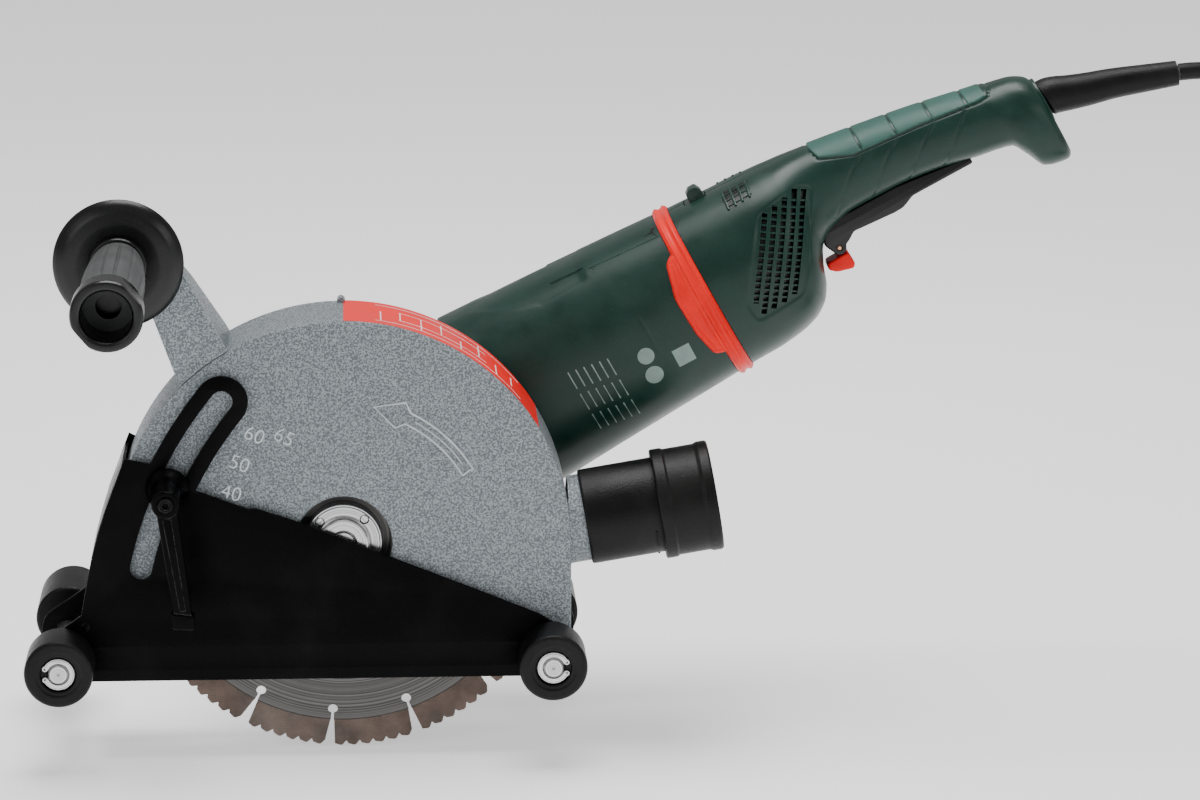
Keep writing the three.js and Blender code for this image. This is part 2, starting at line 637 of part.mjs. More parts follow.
function plug() {
  const y = PLUG_Y;
  const profile = [[0, y], [5.6, y], [7, y + 14], [9, y + 18], [13.5, y + 24], [13.5, y + 48], [12.5, y + 49],
    [0, y + 49]];
  let body = turned(profile, COIL_X + COIL_MEAN_R, PLUG_Z, 20);
  for (const side of [-9.5, 9.5]) {
    body = body.add(bar(2.4, y + 47, y + 68, COIL_X + COIL_MEAN_R + side, PLUG_Z, 14));
  }
  return part('plug', body, BLACK_RUBBER);
}

// ---------------------------------------------------------------- depth guide
function curvedSlot() {
  const shape = new THREE.Shape();
  const low = 180 - SLOT_LOW;
  const high = 180 - SLOT_HIGH;
  shape.absarc(REAR_X, AXLE_Z, SLOT_R + SLOT_HALF, rad(low), rad(high), true);
  shape.absarc(...aboutPivot(SLOT_R, SLOT_HIGH), SLOT_HALF, rad(high), rad(high - 180), true);
  shape.absarc(REAR_X, AXLE_Z, SLOT_R - SLOT_HALF, rad(high), rad(low), false);
  shape.absarc(...aboutPivot(SLOT_R, SLOT_LOW), SLOT_HALF, rad(low + 180), rad(low), true);
  return plate(shape, NEAR_PLATE_Y - 1, NEAR_PLATE_Y + SHEET + 1, 10);
}

const EDGE_TOP = [-113.8, 48.3];
const EDGE_MIDDLE = [-124.9, 19];
const EDGE_BEND = [-131.9, -5];
const EDGE_LOW = [-138, -36.6];

// Both side plates start with the same foot: bottom edge and the lug around the rear axle.
function plateFoot() {
  const shape = new THREE.Shape();
  shape.moveTo(-147, GUIDE_BOTTOM);
  shape.lineTo(117.6, GUIDE_BOTTOM);
  shape.absarc(REAR_X, AXLE_Z, 15, rad(-56), rad(66), false);
  return shape;
}

function plateFront(shape) {
  for (const corner of [EDGE_TOP, EDGE_MIDDLE, EDGE_BEND, EDGE_LOW]) shape.lineTo(...corner);
  shape.lineTo(-147, -43);
  shape.absarc(FRONT_X, AXLE_Z, 13.5, rad(125), rad(250), false);
  return shape;
}

function guidePlateNear() {
  const shape = plateFoot();
  const slope = [[103, -38.8], [82, -30], [29.5, -8.6], [-22, 12.6], [-46, 20.6], [-50, 20.4],
    [-72.4, 29]];
  for (const corner of slope) shape.lineTo(...corner);
  const edge = 13.8;
  shape.absarc(REAR_X, AXLE_Z, SLOT_R - edge, rad(154), rad(180 - SLOT_HIGH), true);
  shape.absarc(...aboutPivot(SLOT_R, SLOT_HIGH), edge, rad(-SLOT_HIGH), rad(180 - SLOT_HIGH), false);
  shape.absarc(REAR_X, AXLE_Z, SLOT_R + edge, rad(180 - SLOT_HIGH), rad(153.2), false);
  plateFront(shape);
  let body = plate(shape, NEAR_PLATE_Y, NEAR_PLATE_Y + SHEET, 9).subtract(curvedSlot());
  for (const x of [REAR_X, FRONT_X]) body = body.subtract(bar(AXLE_R + RUN, -10, 10, x, AXLE_Z));
  return part('guide_plate_near', body, BLACK_PAINT);
}

function guidePlateFar() {
  const shape = plateFoot();
  const back = [[100, -44], [74, -62], [-66, -62], [-96, -42], [-101, -5], [-98, 40]];
  for (const corner of back) shape.lineTo(...corner);
  plateFront(shape);
  let body = plate(shape, FAR_PLATE_Y, FAR_PLATE_Y + SHEET, 8);
  for (const x of [REAR_X, FRONT_X]) body = body.subtract(bar(AXLE_R + RUN, 40, 60, x, AXLE_Z));
  return part('guide_plate_far', body, BLACK_PAINT);
}

function guideEndPlate() {
  const outside = [[-115.6, 43], EDGE_MIDDLE, EDGE_BEND, EDGE_LOW];
  const inside = outside.map(([x, z]) => [x + END_SHEET, z]).reverse();
  const body = plate(outline([...outside, ...inside]), NEAR_PLATE_Y + SHEET + GAP, FAR_PLATE_Y - GAP);
  return part('guide_end_plate', body, BLACK_PAINT);
}

const AXLE_ENDS = { near: -31.2, far: 113.6 };

function axle(name, x) {
  return part(name, bar(AXLE_R, AXLE_ENDS.near, AXLE_ENDS.far, x, AXLE_Z, 20), BRIGHT_STEEL);
}

// A roller with a pocket in its outer end for the retaining ring.
function roller(name, x, outer, inner) {
  const step = Math.sign(inner - outer);
  const bore = AXLE_R + RUN + 0.1;
  const chamfer = step * 1.2;
  const profile = [[bore, inner], [16.8, inner], [ROLLER_R, inner - chamfer], [ROLLER_R, outer + chamfer],
    [16.8, outer], [9.4, outer], [9.4, outer + step * 3], [bore, outer + step * 3], [bore, inner]];
  return part(name, turned(profile, x, AXLE_Z, 20), BLACK_RUBBER);
}

function retainingRing(name, x, y, openAngle) {
  const shape = new THREE.Shape();
  const lug = 22;
  shape.absarc(0, 0, 8.6, rad(lug), rad(360 - lug), false);
  shape.absarc(0, 0, AXLE_R + RUN + 0.1, rad(360 - lug), rad(lug), true);
  const body = plate(shape, y, y + 1.2, 8).rotate([0, -openAngle, 0]).translate([x, 0, AXLE_Z]);
  return part(name, body, BRIGHT_STEEL);
}

function spacer(name, x) {
  const start = FAR_PLATE_Y + SHEET + GAP;
  return part(name, ring(AXLE_R + RUN + 0.1, 9, start, 69.6, x, AXLE_Z, 20), BRIGHT_STEEL);
}

function clampBolt() {
  const body = bar(BOLT_R, -40, 8, ...BOLT, 24).add(bar(9, HOOD_WALL + GAP, 8.5, ...BOLT, 24));
  return part('clamp_bolt', body, BLACK_PAINT);
}

function clampLever() {
  const bore = BOLT_R + GAP;
  const profile = [[bore, -4.8], [11.5, -4.8], [11.5, -8], [9, -12], [6.8, -24], [6.5, -38],
    [bore, -38], [bore, -4.8]];
  const hub = turned(profile, ...BOLT, 20);
  const [bx, bz] = BOLT;
  const arm = outline([[bx - 4.7, bz + 1], [bx + 4.7, bz], [bx + 12.5, bz - 60], [bx + 3.2, bz - 60]]);
  const foot = outline([[bx + 1.8, bz - 58], [bx + 13.6, bz - 59.5], [bx + 13.8, bz - 67.5],
    [bx + 2.2, bz - 67]]);
  const body = hub
    .add(plate(arm, -37.5, -31).subtract(bar(bore, -40, -20, ...BOLT, 24)))
    .add(plate(foot, -38, -29));
  return part('clamp_lever', body, BLACK_PAINT);
}

function depthGuide() {
  const made = [guidePlateNear(), guidePlateFar(), guideEndPlate()];
  for (const [place, x, openAngle] of [['front', FRONT_X, 180], ['rear', REAR_X, 0]]) {
    made.push(axle(`${place}_axle`, x));
    made.push(roller(`roller_${place}_near`, x, -31.8, -4.6));
    made.push(roller(`roller_${place}_far`, x, 114.2, 70));
    made.push(retainingRing(`retaining_ring_${place}_near`, x, -30.4, openAngle));
    made.push(retainingRing(`retaining_ring_${place}_far`, x, 111.6, openAngle));
    made.push(spacer(`roller_spacer_${place}`, x));
  }
  return made;
}

// ---------------------------------------------------------------- assembly
function motorGroup() {
  const tilted = new THREE.Group();
  tilted.position.set(0, MOTOR_Y, 0);
  tilted.rotation.y = -rad(MOTOR_TILT);
  tilted.add(motorHousing(), dampingRing(), ...armature(), stator(), bearingBracket());
  tilted.add(carbonBrush('carbon_brush_near', -1), carbonBrush('carbon_brush_far', 1));
  tilted.add(spindleLockButton(), ...handleShells(), gripInsert(), latchButton());
  tilted.add(triggerPaddle(), lockOffLever(), lockPin(), switchBlock(), cableSleeve());
  return tilted;
}

const wallChaser = new THREE.Group();
wallChaser.add(hoodFrontShell(), hoodRearPlate(), hoseSleeve(), hoseSocket());
wallChaser.add(sideHandleArm(), handGuard(), sideGrip(), handleStud());
wallChaser.add(diamondBlade(), flangeNut(), innerFlange(), spindle(), crownGear(), spindleBearing());
wallChaser.add(gearCover(), gearHousing(), motorGroup());
wallChaser.add(clampBolt(), clampLever(), ...depthGuide());
wallChaser.add(powerCord(), cordCoil(), cordTail(), plug());

export default wallChaser;
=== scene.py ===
"""Looks of a wall chaser: an angle grinder motor in a dust hood on a roller depth guide.

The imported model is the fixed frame. Each sub-assembly below is a class that holds its sizes in
millimetres, builds its meshes in metres in the frame's own axes, and dresses them.
"""

import logging
import math
from dataclasses import dataclass, replace
from enum import Enum
from functools import cache
from typing import Callable, Iterable, Sequence

import bmesh
import bpy
import numpy as np
from mathutils import Matrix, Vector


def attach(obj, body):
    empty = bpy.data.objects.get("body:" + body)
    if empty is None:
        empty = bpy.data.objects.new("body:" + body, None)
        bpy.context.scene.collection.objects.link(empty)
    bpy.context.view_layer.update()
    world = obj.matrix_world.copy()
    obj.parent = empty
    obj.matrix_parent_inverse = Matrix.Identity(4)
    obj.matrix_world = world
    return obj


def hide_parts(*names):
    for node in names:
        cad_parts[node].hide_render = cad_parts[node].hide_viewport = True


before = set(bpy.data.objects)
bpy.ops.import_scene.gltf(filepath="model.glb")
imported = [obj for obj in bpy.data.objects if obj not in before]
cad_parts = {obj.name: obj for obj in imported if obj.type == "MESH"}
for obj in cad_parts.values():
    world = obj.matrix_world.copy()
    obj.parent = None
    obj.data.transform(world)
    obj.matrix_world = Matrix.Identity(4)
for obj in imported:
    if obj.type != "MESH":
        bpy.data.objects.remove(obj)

LOG = logging.getLogger("wall_chaser")
MM = 0.001
Point2 = tuple[float, float]
Point3 = tuple[float, float, float]
Color = tuple[float, float, float]
Sections = Sequence[tuple[float, float, float, float]]
Piece = bpy.types.Object
Node = bpy.types.Node
NodeTree = bpy.types.NodeTree
Wire = bpy.types.NodeSocket

# ---- shared dimensions, millimetres
HOOD_R = 120.0
HOOD_DEPTH = 50.0
AXLE_Z = -60.5
REAR_X = 109.3
FRONT_X = -149.0
AXLE_R = 5.5
MOTOR_Y = 105.0
MOTOR_TILT = 29.5
CORD_R = 4.7
CLAMP_BOLT = (
    REAR_X - 221.0 * math.cos(math.radians(24.8)),
    AXLE_Z + 221.0 * math.sin(math.radians(24.8)),
)


class Join(Enum):
    """How one solid acts on another."""

    ADD = "UNION"
    CUT = "DIFFERENCE"
    KEEP = "INTERSECT"


class Side(Enum):
    """The side of the motor's middle plane: near is the hood's side."""

    NEAR = -1
    FAR = 1


# ---- places
def tilted_place(degrees: float, origin: Point3) -> Matrix:
    """Returns the matrix that lays local X along a line rising from +X.

    Args:
        degrees: How far the line rises.
        origin: Where the local origin goes, in millimetres.

    Returns:
        A matrix from local millimetres to frame millimetres.
    """
    return Matrix.Translation(origin) @ Matrix.Rotation(-math.radians(degrees), 4, "Y")


MOTOR = tilted_place(MOTOR_TILT, (0.0, MOTOR_Y, 0.0))
STUB = tilted_place(9.5, (112.0, 24.5, 3.6))
ALONG_X = Matrix.Rotation(-math.pi / 2, 4, "Z")


def at(x: float, z: float) -> Matrix:
    """Returns the place of a piece about the axis along Y through (x, z)."""
    return Matrix.Translation((x, 0.0, z))


def polar(x: float, z: float, radius: float, degrees: float) -> Point2:
    """Returns the point at an angle on a circle about (x, z)."""
    turn = math.radians(degrees)
    return (x + radius * math.cos(turn), z + radius * math.sin(turn))


def arc(x: float, z: float, radius: float, start: float, end: float, steps: int) -> list[Point2]:
    """Returns points along an arc.

    Args:
        x: Centre.
        z: Centre.
        radius: Radius.
        start: First angle in degrees.
        end: Last angle in degrees; the arc runs towards it either way round.
        steps: Number of straight lines.

    Returns:
        The points, both ends included.
    """
    return [polar(x, z, radius, start + (end - start) * i / steps) for i in range(steps + 1)]


def circle(x: float, z: float, radius: float, steps: int = 40) -> list[Point2]:
    """Returns a closed circle's points, without repeating the first."""
    return arc(x, z, radius, 0.0, 360.0, steps)[:-1]


def about_pivot(radius: float, degrees: float) -> Point2:
    """Returns the point on an arc about the guide's pivot, the angle taken from the forward line."""
    return polar(REAR_X, AXLE_Z, radius, 180.0 - degrees)


def fillet(points: Sequence[Point2], radius: float, closed: bool = True, steps: int = 4) -> list[Point2]:
    """Rounds the corners of an outline or profile that turn by more than 12 degrees.

    Args:
        points: The corners.
        radius: How far from the corner the rounding starts.
        closed: Whether the last point joins the first.
        steps: Straight lines for each corner.

    Returns:
        The rounded outline.
    """
    made: list[Point2] = []
    last = len(points) - 1
    for i, corner in enumerate(points):
        here = Vector(corner)
        back = Vector(points[i - 1]) - here
        ahead = Vector(points[(i + 1) % len(points)]) - here
        end = not closed and i in (0, last)
        if end or min(back.length, ahead.length) < 1e-6 or back.angle(-ahead) < math.radians(12):
            made.append(tuple(corner))
            continue
        reach = min(radius, back.length * 0.45, ahead.length * 0.45)
        start, finish = here + back.normalized() * reach, here + ahead.normalized() * reach
        for k in range(steps + 1):
            t = k / steps
            spot = start.lerp(here, t).lerp(here.lerp(finish, t), t)
            made.append((spot.x, spot.y))
    return made


def smooth_line(points: Sequence[Point3], steps: int) -> list[Vector]:
    """Returns a smooth curve through the points.

    Args:
        points: What the curve passes through.
        steps: Points for each span.

    Returns:
        The curve's points, both ends included.
    """
    spots = [Vector(p) for p in points]
    ends = [spots[0] * 2 - spots[1], *spots, spots[-1] * 2 - spots[-2]]
    made: list[Vector] = []
    for i in range(1, len(ends) - 2):
        a, b, c, d = ends[i - 1 : i + 3]
        for k in range(steps):
            t = k / steps
            bend = (2 * a - 5 * b + 4 * c - d) * t**2 + (3 * b - a - 3 * c + d) * t**3
            made.append(0.5 * (2 * b + (c - a) * t + bend))
    return [*made, spots[-1]]


def levels(sections: Sections, wanted: np.ndarray) -> np.ndarray:
    """Reads a table of sections at other stations, without overshooting between them.

    Args:
        sections: Rows of station, then values.
        wanted: The stations to read.

    Returns:
        One row of values for each wanted station.
    """
    table = np.array(sections, float)
    x, y = table[:, 0], table[:, 1:]
    step = np.diff(x)[:, None]
    slope = np.diff(y, axis=0) / step
    tangent = np.vstack([slope[:1], np.zeros_like(slope[1:]), slope[-1:]])
    same = slope[:-1] * slope[1:] > 0
    safe = np.where(same, slope[:-1] + slope[1:], 1.0)
    tangent[1:-1] = np.where(same, 2 * slope[:-1] * slope[1:] / safe, 0.0)
    i = np.clip(np.searchsorted(x, wanted, side="right") - 1, 0, len(step) - 1)
    t = np.clip((wanted - x[i])[:, None] / step[i], 0, 1)
    a, b = y[i], y[i + 1]
    return (
        a * (1 + 2 * t) * (1 - t) ** 2
        + b * t**2 * (3 - 2 * t)
        + step[i] * (tangent[i] * t * (1 - t) ** 2 - tangent[i + 1] * t**2 * (1 - t))
    )


def depth_inside(outline: Sequence[Point2], u: np.ndarray, v: np.ndarray) -> np.ndarray:
    """Measures how far points lie inside a closed outline.

    Args:
        outline: The outline's corners.
        u: First coordinates.
        v: Second coordinates.

    Returns:
        The distance to the outline, negative outside it.
    """
    corners = np.array(outline, float)
    nearest = np.full(u.shape, np.inf)
    inside = np.zeros(u.shape, bool)
    for (ax, ay), (bx, by) in zip(corners, np.roll(corners, -1, axis=0)):
        dx, dy = bx - ax, by - ay
        t = np.clip(((u - ax) * dx + (v - ay) * dy) / (dx * dx + dy * dy), 0, 1)
        nearest = np.minimum(nearest, np.hypot(u - ax - t * dx, v - ay - t * dy))
        if dy:
            inside ^= ((ay > v) != (by > v)) & (u < dx * (v - ay) / dy + ax)
    return np.where(inside, nearest, -nearest)


def eased(value: np.ndarray | float, low: float, high: float) -> np.ndarray:
    """Returns a smooth rise from 0 at low to 1 at high."""
    t = np.clip((value - low) / (high - low), 0, 1)
    return t * t * (3 - 2 * t)


# ---- mesh tools
def shade(piece: Piece, crease: float = 32.0) -> Piece:
    """Welds a mesh, turns its faces outwards, and shades it smooth but for its real edges.

    Args:
        piece: The mesh object.
        crease: Edges that turn by more than this many degrees stay sharp.

    Returns:
        The same object.
    """
    work = bmesh.new()
    work.from_mesh(piece.data)
    bmesh.ops.remove_doubles(work, verts=work.verts, dist=2e-6)
    bmesh.ops.dissolve_degenerate(work, edges=work.edges, dist=1e-7)
    bmesh.ops.recalc_face_normals(work, faces=work.faces)
    for face in work.faces:
        face.smooth = True
    work.to_mesh(piece.data)
    work.free()
    piece.data.set_sharp_from_angle(angle=math.radians(crease))
    return piece


def linked(name: str, data: bpy.types.ID) -> Piece:
    """Returns a new object that holds the data, linked to the scene."""
    made = bpy.data.objects.new(name, data)
    bpy.context.scene.collection.objects.link(made)
    return made


def evaluated(piece: Piece) -> bpy.types.Mesh:
    """Returns the plain mesh that an object's curve or modifiers make, and removes the object."""
    graph = bpy.context.evaluated_depsgraph_get()
    mesh = bpy.data.meshes.new_from_object(piece.evaluated_get(graph))
    bpy.data.objects.remove(piece)
    return mesh


def add_mesh(
    name: str, points: Iterable[Point3], faces: Iterable[Sequence[int]], place: Matrix = Matrix(),
) -> Piece:
    """Makes a mesh object.

    Args:
        name: The object's name.
        points: Corners in local millimetres.
        faces: Corner numbers of each face.
        place: From local to frame millimetres.

    Returns:
        The shaded object, linked to the scene.
    """
    mesh = bpy.data.meshes.new(name)
    mesh.from_pydata([(place @ Vector(p)) * MM for p in points], [], [tuple(f) for f in faces])
    return shade(linked(name, mesh))


def settle(piece: Piece, crease: float = 32.0) -> Piece:
    """Turns an object with its modifiers, or a curve, into a plain shaded mesh.

    Args:
        piece: The object to settle.
        crease: Passed to shade.

    Returns:
        A mesh object of the same name.
    """
    name = piece.name
    mesh = evaluated(piece)
    mesh.name = name
    return shade(linked(name, mesh), crease)


def combine(base: Piece, tool: Piece, how: Join) -> Piece:
    """Adds, cuts or keeps with another solid, which is used up.

    Args:
        base: The solid that stays.
        tool: The solid that acts on it.
        how: The kind of action.

    Returns:
        The result, under base's name.
    """
    modifier = base.modifiers.new("combine", "BOOLEAN")
    modifier.operation = how.value
    modifier.solver = "EXACT"
    modifier.object = tool
    made = settle(base)
    bpy.data.objects.remove(tool)
    return made


def merge(name: str, pieces: Sequence[Piece]) -> Piece:
    """Puts several meshes into one object without changing their surfaces.

    Args:
        name: The new object's name.
        pieces: The meshes, which are used up.

    Returns:
        The new object.
    """
    work = bmesh.new()
    for piece in pieces:
        work.from_mesh(piece.data)
        bpy.data.objects.remove(piece)
    mesh = bpy.data.meshes.new(name)
    work.to_mesh(mesh)
    work.free()
    mesh.set_sharp_from_angle(angle=math.radians(32))
    return linked(name, mesh)


def soften(piece: Piece, width: float, segments: int = 2, angle: float = 40.0) -> Piece:
    """Rounds the sharp edges of a solid.

    Args:
        piece: The solid.
        width: Rounding in millimetres.
        segments: Faces across the rounding.
        angle: Edges sharper than this many degrees are rounded.

    Returns:
        The rounded solid.
    """
    modifier = piece.modifiers.new("soften", "BEVEL")
    modifier.width = width * MM
    modifier.segments = segments
    modifier.limit_method = "ANGLE"
    modifier.angle_limit = math.radians(angle)
    modifier.use_clamp_overlap = True
    return settle(piece)


def turned(
    name: str, profile: Sequence[Point2], place: Matrix = Matrix(), sides: int = 72,
    round_by: float = 0.0, closed: bool = False,
    ripple: Callable[[float, float, float], float] | None = None,
) -> Piece:
    """Makes a solid of revolution about local Y.

    Args:
        name: The object's name.
        profile: Pairs of radius and y.
        place: From local to frame millimetres.
        sides: Faces around.
        round_by: Rounding of the profile's corners.
        closed: Whether the profile's last point joins its first, as for a tube.
        ripple: Gives the radius at a radius, y and angle, for shapes that aren't quite round.

    Returns:
        The solid.
    """
    line = fillet(profile, round_by, closed) if round_by else list(profile)
    rows = len(line)
    points = []
    for r, y in line:
        for i in range(sides):
            turn = 2 * math.pi * i / sides
            out = ripple(r, y, turn) if ripple and r > 0 else r
            points.append((out * math.cos(turn), y, out * math.sin(turn)))
    spans = rows if closed else rows - 1
    faces = [
        (j * sides + i, j * sides + (i + 1) % sides, (j + 1) % rows * sides + (i + 1) % sides,
         (j + 1) % rows * sides + i)
        for j in range(spans)
        for i in range(sides)
    ]
    return add_mesh(name, points, faces, place)


def plate(
    name: str, loops: Sequence[Sequence[Point2]], y0: float, y1: float, edge: float = 0.3,
    place: Matrix = Matrix(),
) -> Piece:
    """Makes a sheet or block whose outline lies in XZ, with rounded edges.

    Args:
        name: The object's name.
        loops: The outline, then any holes.
        y0: Its front.
        y1: Its back.
        edge: Rounding of its edges.
        place: From local to frame millimetres.

    Returns:
        The solid.
    """
    curve = bpy.data.curves.new(name, "CURVE")
    curve.dimensions = "2D"
    curve.fill_mode = "BOTH"
    curve.extrude = (y1 - y0) / 2 - edge
    curve.bevel_depth = edge
    curve.bevel_resolution = 2
    curve.offset = -edge
    for loop in loops:
        spline = curve.splines.new("POLY")
        spline.points.add(len(loop) - 1)
        for point, (x, z) in zip(spline.points, loop):
            point.co = (x, z, 0.0, 1.0)
        spline.use_cyclic_u = True
    return standing(name, curve, place @ Matrix.Translation((0.0, (y0 + y1) / 2, 0.0)))


def standing(name: str, curve: bpy.types.Curve, place: Matrix) -> Piece:
    """Turns a flat curve or text into a mesh that stands in XZ and faces -Y.

    Args:
        name: The object's name.
        curve: The flat curve, in millimetres.
        place: From local to frame millimetres.

    Returns:
        The mesh object.
    """
    mesh = evaluated(linked(name, curve))
    mesh.transform(Matrix.Scale(MM, 4) @ place @ Matrix.Rotation(math.pi / 2, 4, "X"))
    return shade(linked(name, mesh))


def block(name: str, low: Point3, high: Point3, place: Matrix = Matrix(), edge: float = 0.0) -> Piece:
    """Makes a box between two corners.

    Args:
        name: The object's name.
        low: Lowest corner.
        high: Highest corner.
        place: From local to frame millimetres.
        edge: Rounding of its edges.

    Returns:
        The solid.
    """
    points = [(x, y, z) for x in (low[0], high[0]) for y in (low[1], high[1]) for z in (low[2], high[2])]
    faces = [(0, 1, 3, 2), (4, 6, 7, 5), (0, 4, 5, 1), (2, 3, 7, 6), (0, 2, 6, 4), (1, 5, 7, 3)]
    made = add_mesh(name, points, faces, place)
    return soften(made, edge, 3) if edge else made


def rings(
    name: str, rows: Sequence[Sequence[Point3]], place: Matrix = Matrix(), around: bool = True,
    cap: bool = True,
) -> Piece:
    """Makes a skin over rows of points.

    Args:
        name: The object's name.
        rows: Rows of the same length.
        place: From local to frame millimetres.
        around: Whether each row closes on itself.
        cap: Whether the first and last rows are closed with a face.

    Returns:
        The mesh object.
    """
    count = len(rows[0])
    spans = count if around else count - 1
    faces: list[tuple[int, ...]] = [
        (j * count + i, j * count + (i + 1) % count, (j + 1) * count + (i + 1) % count, (j + 1) * count + i)
        for j in range(len(rows) - 1)
        for i in range(spans)
    ]
    if cap:
        faces.append(tuple(range(count)))
        faces.append(tuple(range((len(rows) - 1) * count, len(rows) * count)))
    return add_mesh(name, [p for row in rows for p in row], faces, place)


def tube(
    name: str, line: Sequence[Vector], radii: Sequence[float] | float, sides: int = 12,
    place: Matrix = Matrix(), closed: bool = False,
) -> Piece:
    """Makes a round bar along a line.

    Args:
        name: The object's name.
        line: The points down its middle.
        radii: One radius, or one for each point.
        sides: Faces around.
        place: From local to frame millimetres.
        closed: Whether the bar joins itself.

    Returns:
        The solid.
    """
    count = len(line)
    sizes = [radii] * count if isinstance(radii, (int, float)) else list(radii)
    side = Vector((0.0, 1.0, 0.0))
    rows = []
    for i, spot in enumerate(line):
        before = line[i - 1] if closed or i else spot
        after = line[(i + 1) % count] if closed or i < count - 1 else spot
        along = (after - before).normalized()
        side = (side - along * side.dot(along)).normalized()
        up = along.cross(side)
        turns = [2 * math.pi * k / sides for k in range(sides)]
        rows.append([tuple(spot + (side * math.cos(t) + up * math.sin(t)) * sizes[i]) for t in turns])
    if closed:
        rows.append(rows[0])
    return rings(name, rows, place, cap=not closed)


@dataclass(frozen=True)
class OvalBody:
    """A moulded body along local X whose cross sections are squarish ovals."""

    sections: Sections
    power: float = 2.5

    def skin(self, u: np.ndarray, turns: np.ndarray, grow: np.ndarray | float = 0.0) -> np.ndarray:
        """Returns the skin's points.

        Args:
            u: Stations along the body.
            turns: Angles around it in radians; 0 points along +Y and a quarter turn up.
            grow: How far the skin stands out, one value or one for each point.

        Returns:
            Points as an array of stations, angles and three coordinates.
        """
        low, high, half = (column[:, None] for column in levels(self.sections, u).T)
        ease = 2 / self.power
        across = np.sign(np.cos(turns)) * np.abs(np.cos(turns)) ** ease
        up = np.sign(np.sin(turns)) * np.abs(np.sin(turns)) ** ease
        y = across[None, :] * (half + grow)
        v = (low + high) / 2 + up[None, :] * ((high - low) / 2 + grow)
        return np.stack([np.broadcast_to(u[:, None], y.shape), y, v], axis=2)

    def side(self, u: float, v: float, side: Side, out: float = 0.0) -> Vector:
        """Returns the point of one side of the body at a station and a height, moved out by a little."""
        low, high, half = levels(self.sections, np.array([u]))[0]
        share = min(abs((v - (low + high) / 2) / ((high - low) / 2)), 1.0)
        return Vector((u, side.value * (half * (1 - share**self.power) ** (1 / self.power) + out), v))


# ---- node trees
class Tree:
    """A thin wrapper that adds and joins nodes in a shader or geometry tree."""

    def __init__(self, tree: NodeTree) -> None:
        """Keeps the tree.

        Args:
            tree: The tree to add to.
        """
        self.tree = tree

    def add(self, kind: str, inputs: dict[str | int, object] | None = None, **settings: object) -> Node:
        """Adds a node.

        Args:
            kind: The node's type.
            inputs: Values, or sockets to join, by input name or number.
            settings: Node properties.

        Returns:
            The node.
        """
        node = self.tree.nodes.new(kind)
        for name, value in settings.items():
            setattr(node, name, value)
        for key, value in (inputs or {}).items():
            if isinstance(value, Wire):
                self.tree.links.new(value, node.inputs[key])
            else:
                node.inputs[key].default_value = value
        return node

    def group(self, made: NodeTree, inputs: dict[str, object]) -> Node:
        """Adds a shared node group."""
        return self.add("ShaderNodeGroup", inputs, node_tree=made)

    def join(self, source: Wire, target: Wire) -> None:
        """Joins an output to an input."""
        self.tree.links.new(source, target)

    def math(self, operation: str, a: object, b: object = 0.0, clamp: bool = False) -> Wire:
        """Adds a Math node and returns its result."""
        return self.add("ShaderNodeMath", {0: a, 1: b}, operation=operation, use_clamp=clamp).outputs[0]

    def noise(self, vector: object, scale: object, detail: float = 2.0, rough: float = 0.5) -> Wire:
        """Adds a noise texture and returns its value."""
        inputs = {"Vector": vector, "Scale": scale, "Detail": detail, "Roughness": rough}
        return self.add("ShaderNodeTexNoise", inputs).outputs[0]

    def span(self, value: object, low: float, high: float, to_low: float = 0.0, to_high: float = 1.0) -> Wire:
        """Maps a range of values smoothly onto another and returns the result."""
        inputs = {"Value": value, "From Min": low, "From Max": high, "To Min": to_low, "To Max": to_high}
        return self.add("ShaderNodeMapRange", inputs, interpolation_type="SMOOTHSTEP").outputs[0]

    def blend(self, factor: object, a: object, b: object) -> Wire:
        """Mixes two colours and returns the result."""
        node = self.add("ShaderNodeMix", {0: factor, 6: a, 7: b}, data_type="RGBA")
        return node.outputs[2]


class Socket(Enum):
    """Kinds of sockets on a node group."""

    NUMBER = "NodeSocketFloat"
    WHOLE = "NodeSocketInt"
    VECTOR = "NodeSocketVector"
    COLOR = "NodeSocketColor"
    MATERIAL = "NodeSocketMaterial"
    SHAPE = "NodeSocketGeometry"


def new_group(
    name: str, kind: str, inputs: dict[str, Socket], outputs: dict[str, Socket]
) -> tuple[Tree, Node, Node]:
    """Starts a node group with named sockets.

    Args:
        name: The group's name.
        kind: ShaderNodeTree or GeometryNodeTree.
        inputs: Input names and kinds.
        outputs: Output names and kinds.

    Returns:
        The tree, its input node and its output node.
    """
    group = bpy.data.node_groups.new(name, kind)
    for socket, socket_kind in inputs.items():
        group.interface.new_socket(socket, in_out="INPUT", socket_type=socket_kind.value)
    for socket, socket_kind in outputs.items():
        group.interface.new_socket(socket, in_out="OUTPUT", socket_type=socket_kind.value)
    tree = Tree(group)
    return tree, tree.add("NodeGroupInput"), tree.add("NodeGroupOutput")


@cache
def fine_grain() -> NodeTree:
    """Returns the moulded or cast grain: a height, and a mottle mask for colour and gloss."""
    tree, given, result = new_group(
        "fine_grain",
        "ShaderNodeTree",
        {"Vector": Socket.VECTOR, "Scale": Socket.NUMBER},
        {"Height": Socket.NUMBER, "Mottle": Socket.NUMBER},
    )
    vector, scale = given.outputs["Vector"], given.outputs["Scale"]
    pebble = tree.noise(vector, scale, 3.0, 0.6)
    broad = tree.noise(vector, tree.math("MULTIPLY", scale, 0.03), 3.0, 0.55)
    tree.join(pebble, result.inputs["Height"])
    tree.join(tree.span(broad, 0.32, 0.68), result.inputs["Mottle"])
    return tree.tree


